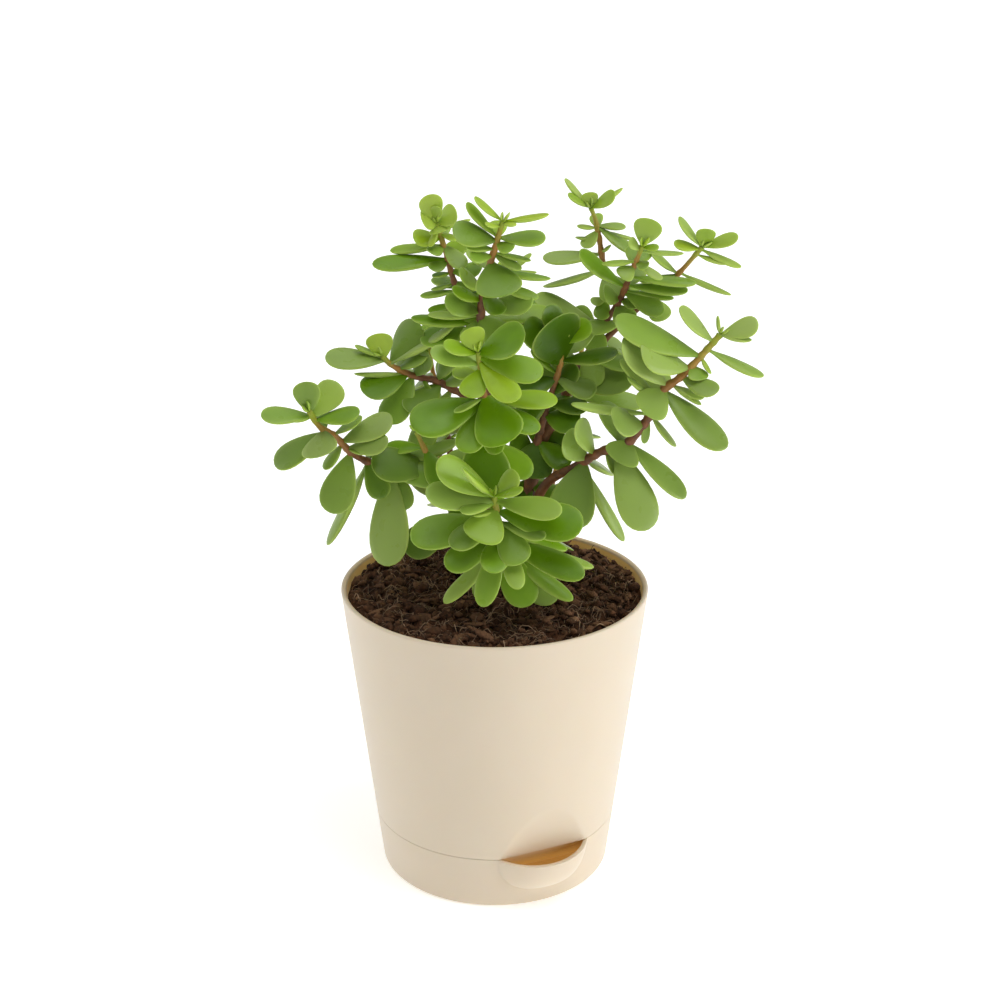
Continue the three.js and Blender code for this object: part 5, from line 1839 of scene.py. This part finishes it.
            (0.98, 117, 0, 15.4, 0.8, 1.2), (0.98, 39, 0, 12.1, 0.8, 1.3), (0.93, 144, 15, 19, 0.8, 1.4),
            (0.84, 100, 25, 22.4, 1, 2.1), (0.87, 10, 20, 22.1, 0.7, 0.8),
            (0.78, 140, 0, 13.4, 0.4, 0.61), (0.75, 343, 15, 15.2, 0.7, 1.2),
            (0.75, 192, 20, 15.3, 0.8, 1.4), (0.64, 48, 0, 14.6, 0.7, 1.1),
            (0.61, 214, 15, 15.6, 0.7, 1.2), (0.59, 352, 10, 14.7, 0.6, 1.2),
            (0.51, 351, 30, 14.1, 0.8, 1.6), (0.4, 132, 0, 13.8, 0.7, 1.4), (0.34, 257, 25, 14.3, 1, 2.1),
            (0.33, 327, 20, 14.8, 0.8, 1.4), (0.25, 150, 5, 10.7, 0.7, 2.1),
            (0.11, 50, 0, 20.3, 0.7, 1.1), (0.08, 243, 10, 8.8, 0.7, 1.7), (0.07, 328, 5, 13.2, 0.6, 1.3),
            (0.85, 170, -45, 14, 0), (0.5, 40, -45, 18, 0), (0.3, 93, -60, 20, 0, 1.2),
        ),
        fresh=0, pale=0,
    ),
    Shoot(
        "shoot_left_inner",
        ((-10, 4, 124), (-14, -3, 138), (-17, -7, 152), (-23, -10, 165), (-28, -12, 177)),
        (1.8, 1),
        (
            (1, 50, 20, 13, 0.8, 1.1), (0.86, 300, 25, 15, 0.9, 1.2), (0.88, 190, -20, 15, 0.4, 0.91),
            (0.72, 172, 15, 23.7, 0.9, 1.3), (0.66, 350, 20, 16, 0.8, 1.2), (0.5, 15, -20, 18, 0.4),
            (0.5, 300, 30, 15, 0.8, 1.1), (0.32, 214, 10, 22, 0.9, 1.3), (0.3, 330, 25, 18, 0.8, 1.2),
        ),
        fresh=0.05, pale=0.06,
    ),
    Shoot(
        "shoot_back_left",
        ((-13, 4, 138), (-17, 18, 160), (-22, 27, 180), (-25, 31, 198)),
        (2, 1),
        (
            (1, 160, -20, 12, 0), (1, 20, -20, 12, 0), (0.96, 85, 20, 10, 0), (0.95, 95, -50, 12, 0),
            (0.8, 190, -40, 18, 0), (0.8, 10, -40, 18, 0), (0.65, 200, -70, 22, 0),
            (0.6, 150, 0, 20, 0.3), (0.48, 250, -65, 22, 0), (0.45, 340, -30, 20, 0),
            (0.3, 195, -30, 24, 0),
        ),
    ),
    Shoot(
        "shoot_back_centre",
        ((-3, 3, 162), (0, 19, 184), (3, 28, 205), (4, 32, 224)),
        (2, 1),
        (
            (1, 150, -15, 12, 0), (1, 30, -15, 12, 0), (0.96, 90, -65, 11, 0), (0.96, 80, 25, 9, 0),
            (0.82, 180, -20, 17, 0), (0.82, 0, -20, 17, 0), (0.68, 250, -70, 20, 0),
            (0.68, 90, 10, 14, 0), (0.52, 190, -30, 22, 0), (0.52, 350, -30, 22, 0),
            (0.36, 260, -55, 24, 0), (0.26, 215, -10, 20, 0),
        ),
    ),
    Shoot(
        "shoot_back_right",
        ((13, 6, 146), (21, 19, 164), (29, 28, 182), (34, 31, 200)),
        (2, 1),
        (
            (1, 150, -20, 12, 0), (1, 20, -20, 12, 0), (0.96, 80, -55, 11, 0), (0.96, 90, 20, 9, 0),
            (0.8, 170, -40, 18, 0), (0.8, 350, -30, 18, 0), (0.66, 290, -65, 22, 0),
            (0.6, 20, -10, 18, 0.2), (0.48, 210, -50, 20, 0), (0.44, 330, -30, 22, 0),
            (0.3, 290, -60, 18, 0),
        ),
    ),
    Shoot(
        "shoot_back_low_left",
        ((-10, 5, 117), (-15, 17, 130), (-19, 27, 143), (-22, 33, 157)),
        (1.9, 1),
        (
            (1, 165, -40, 12, 0), (1, 15, -40, 12, 0), (0.9, 270, -65, 18, 0), (0.75, 180, -50, 20, 0),
            (0.75, 0, -40, 18, 0), (0.55, 240, -60, 22, 0), (0.5, 330, -50, 20, 0),
            (0.35, 230, -20, 19, 0),
        ),
    ),
    Shoot(
        "shoot_back_low_right",
        ((10, 6, 117), (16, 17, 129), (21, 26, 140), (25, 33, 153)),
        (1.9, 1),
        (
            (1, 165, -40, 12, 0), (1, 15, -30, 12, 0), (0.9, 290, -65, 17, 0), (0.75, 180, -40, 18, 0),
            (0.72, 350, -35, 18, 0), (0.55, 310, -55, 20, 0), (0.45, 240, -45, 20, 0),
            (0.34, 325, 0, 17, 0.2),
        ),
    ),
)


@dataclass(frozen=True)
class JadePlant:
    """The plant: rooted stems and the shoots that they carry."""

    stems: tuple[Stem, ...] = STEMS
    shoots: tuple[Shoot, ...] = SHOOTS
    form: LeafForm = LeafForm()

    def build(self, bark: bpy.types.Material, flesh: bpy.types.Material) -> None:
        """Build the stems and shoots.

        Args:
            bark: Finish of the stems and twigs.
            flesh: Finish of the leaves.
        """
        for stem in self.stems:
            stem.build(bark)
        for shoot in self.shoots:
            shoot.build(self.form, bark, flesh)


# ---------------------------------------------------------------- studio


def look_at(place: Sequence[float], aim: Sequence[float]) -> Triple:
    """Return the Euler angles that point an object's -Z axis from a place to an aim, with +Y up."""
    x, y, z = np.array(aim, float) - np.array(place, float)
    return (float(np.arctan2(np.hypot(x, y), -z)), 0.0, float(np.arctan2(-x, y)))


@dataclass(frozen=True)
class SoftLight:
    """A broad soft light, far enough away to fall evenly on the plant and the floor.

    Attributes:
        name: The light's name.
        towards: Direction from the plant to the light.
        strength: Power in watts on a square metre that faces it.
        spread: Apparent size in degrees.
    """

    name: str
    towards: Triple
    strength: float
    spread: float

    def build(self) -> None:
        """Add the light to the scene."""
        lamp = bpy.data.lights.new(self.name, "SUN")
        lamp.angle = np.radians(self.spread)
        lamp.energy = self.strength
        light = bpy.data.objects.new(self.name, lamp)
        light.location = self.towards
        light.rotation_euler = look_at(self.towards, (0.0, 0.0, 0.0))
        bpy.context.scene.collection.objects.link(light)


@dataclass(frozen=True)
class Studio:
    """A white sweep with soft light from both sides and above, and the camera."""

    target: Triple = (2.0, 0.0, 146.2)
    distance: float = 681.8
    elevation: float = 20.69
    focal_pixels: float = 1850.0
    frame_pixels: float = 1000.0
    sensor: float = 36.0
    sight: float = 50.0  # metres that the camera sees
    floor_radius: float = 9000.0
    floor_sides: int = 64
    floor_drop: float = 0.1  # keeps the floor clear of the pot's underside
    ambient: float = 0.14
    sheen: float = 0.4  # brightness of the surroundings in reflections
    lights: tuple[SoftLight, ...] = (
        SoftLight("top", (0.05, 0.0, 1.0), 1.45, 70.0),
        SoftLight("softbox", (0.3, -0.25, 1.0), 0.45, 30.0),
        SoftLight("right", (1.0, -0.3, 0.12), 1.8, 40.0),
        SoftLight("left", (-1.0, 0.35, 0.35), 0.75, 50.0),
    )

    def camera(self) -> None:
        """Add the camera at the photograph's angle."""
        lens = bpy.data.cameras.new("camera")
        lens.sensor_width = self.sensor
        lens.lens = self.focal_pixels / self.frame_pixels * self.sensor
        lens.clip_end = self.sight
        tilt = np.radians(self.elevation)
        offset = np.array([0.0, -np.cos(tilt), np.sin(tilt)]) * self.distance
        place = np.array(self.target) + offset
        camera = bpy.data.objects.new("camera", lens)
        camera.location = place * MM
        camera.rotation_euler = look_at(place, self.target)
        bpy.context.scene.collection.objects.link(camera)
        bpy.context.scene.camera = camera

    def floor(self) -> None:
        """Add the floor: a wide disc of studio paper just under the pot."""
        angle = circle(self.floor_sides)
        disc = np.stack([np.cos(angle), np.sin(angle), np.zeros_like(angle)], axis=-1)
        mesh = bpy.data.meshes.new("studio_floor")
        mesh.from_pydata(self.floor_radius * MM * disc, [], [list(range(self.floor_sides))])
        mesh.materials.append(StudioWhite().build())
        floor = bpy.data.objects.new("studio_floor", mesh)
        floor.location.z = -self.floor_drop * MM
        bpy.context.scene.collection.objects.link(floor)

    def world(self) -> None:
        """Surround the scene with even light: dim, brighter in reflections, white behind the plant."""
        world = bpy.data.worlds.new("studio")
        painter = Painter(world)
        strength: float | bpy.types.NodeSocket = self.ambient
        for ray, brightness in ((NodeKind.GLOSSY_RAY, self.sheen), (NodeKind.CAMERA_RAY, 1.0)):
            strength = painter.add(NodeKind.MIX_NUMBERS, painter.add(ray), strength, brightness)
        painter.feed({"Color": 0xFFFFFF, "Strength": strength})
        bpy.context.scene.world = world

    def build(self) -> None:
        """Set up the view, the floor, the world and the lights."""
        bpy.context.scene.view_settings.view_transform = "Standard"
        self.camera()
        self.floor()
        self.world()
        for light in self.lights:
            light.build()


def main() -> None:
    """Build the plant and its studio, piece by piece."""
    logging.basicConfig(level=logging.INFO, format="%(message)s")
    plastic = MouldedPolypropylene().build()
    mix, coir = PottingMix().build(), CoirFibre().build()
    bark, flesh = JadeBark().build(), JadeLeafFlesh().build()
    ReservoirBase().build(plastic)
    WickingPot().build(plastic)
    PottedSoil().build(mix, coir)
    JadePlant().build(bark, flesh)
    Studio().build()


if __name__ == "__main__":
    main()
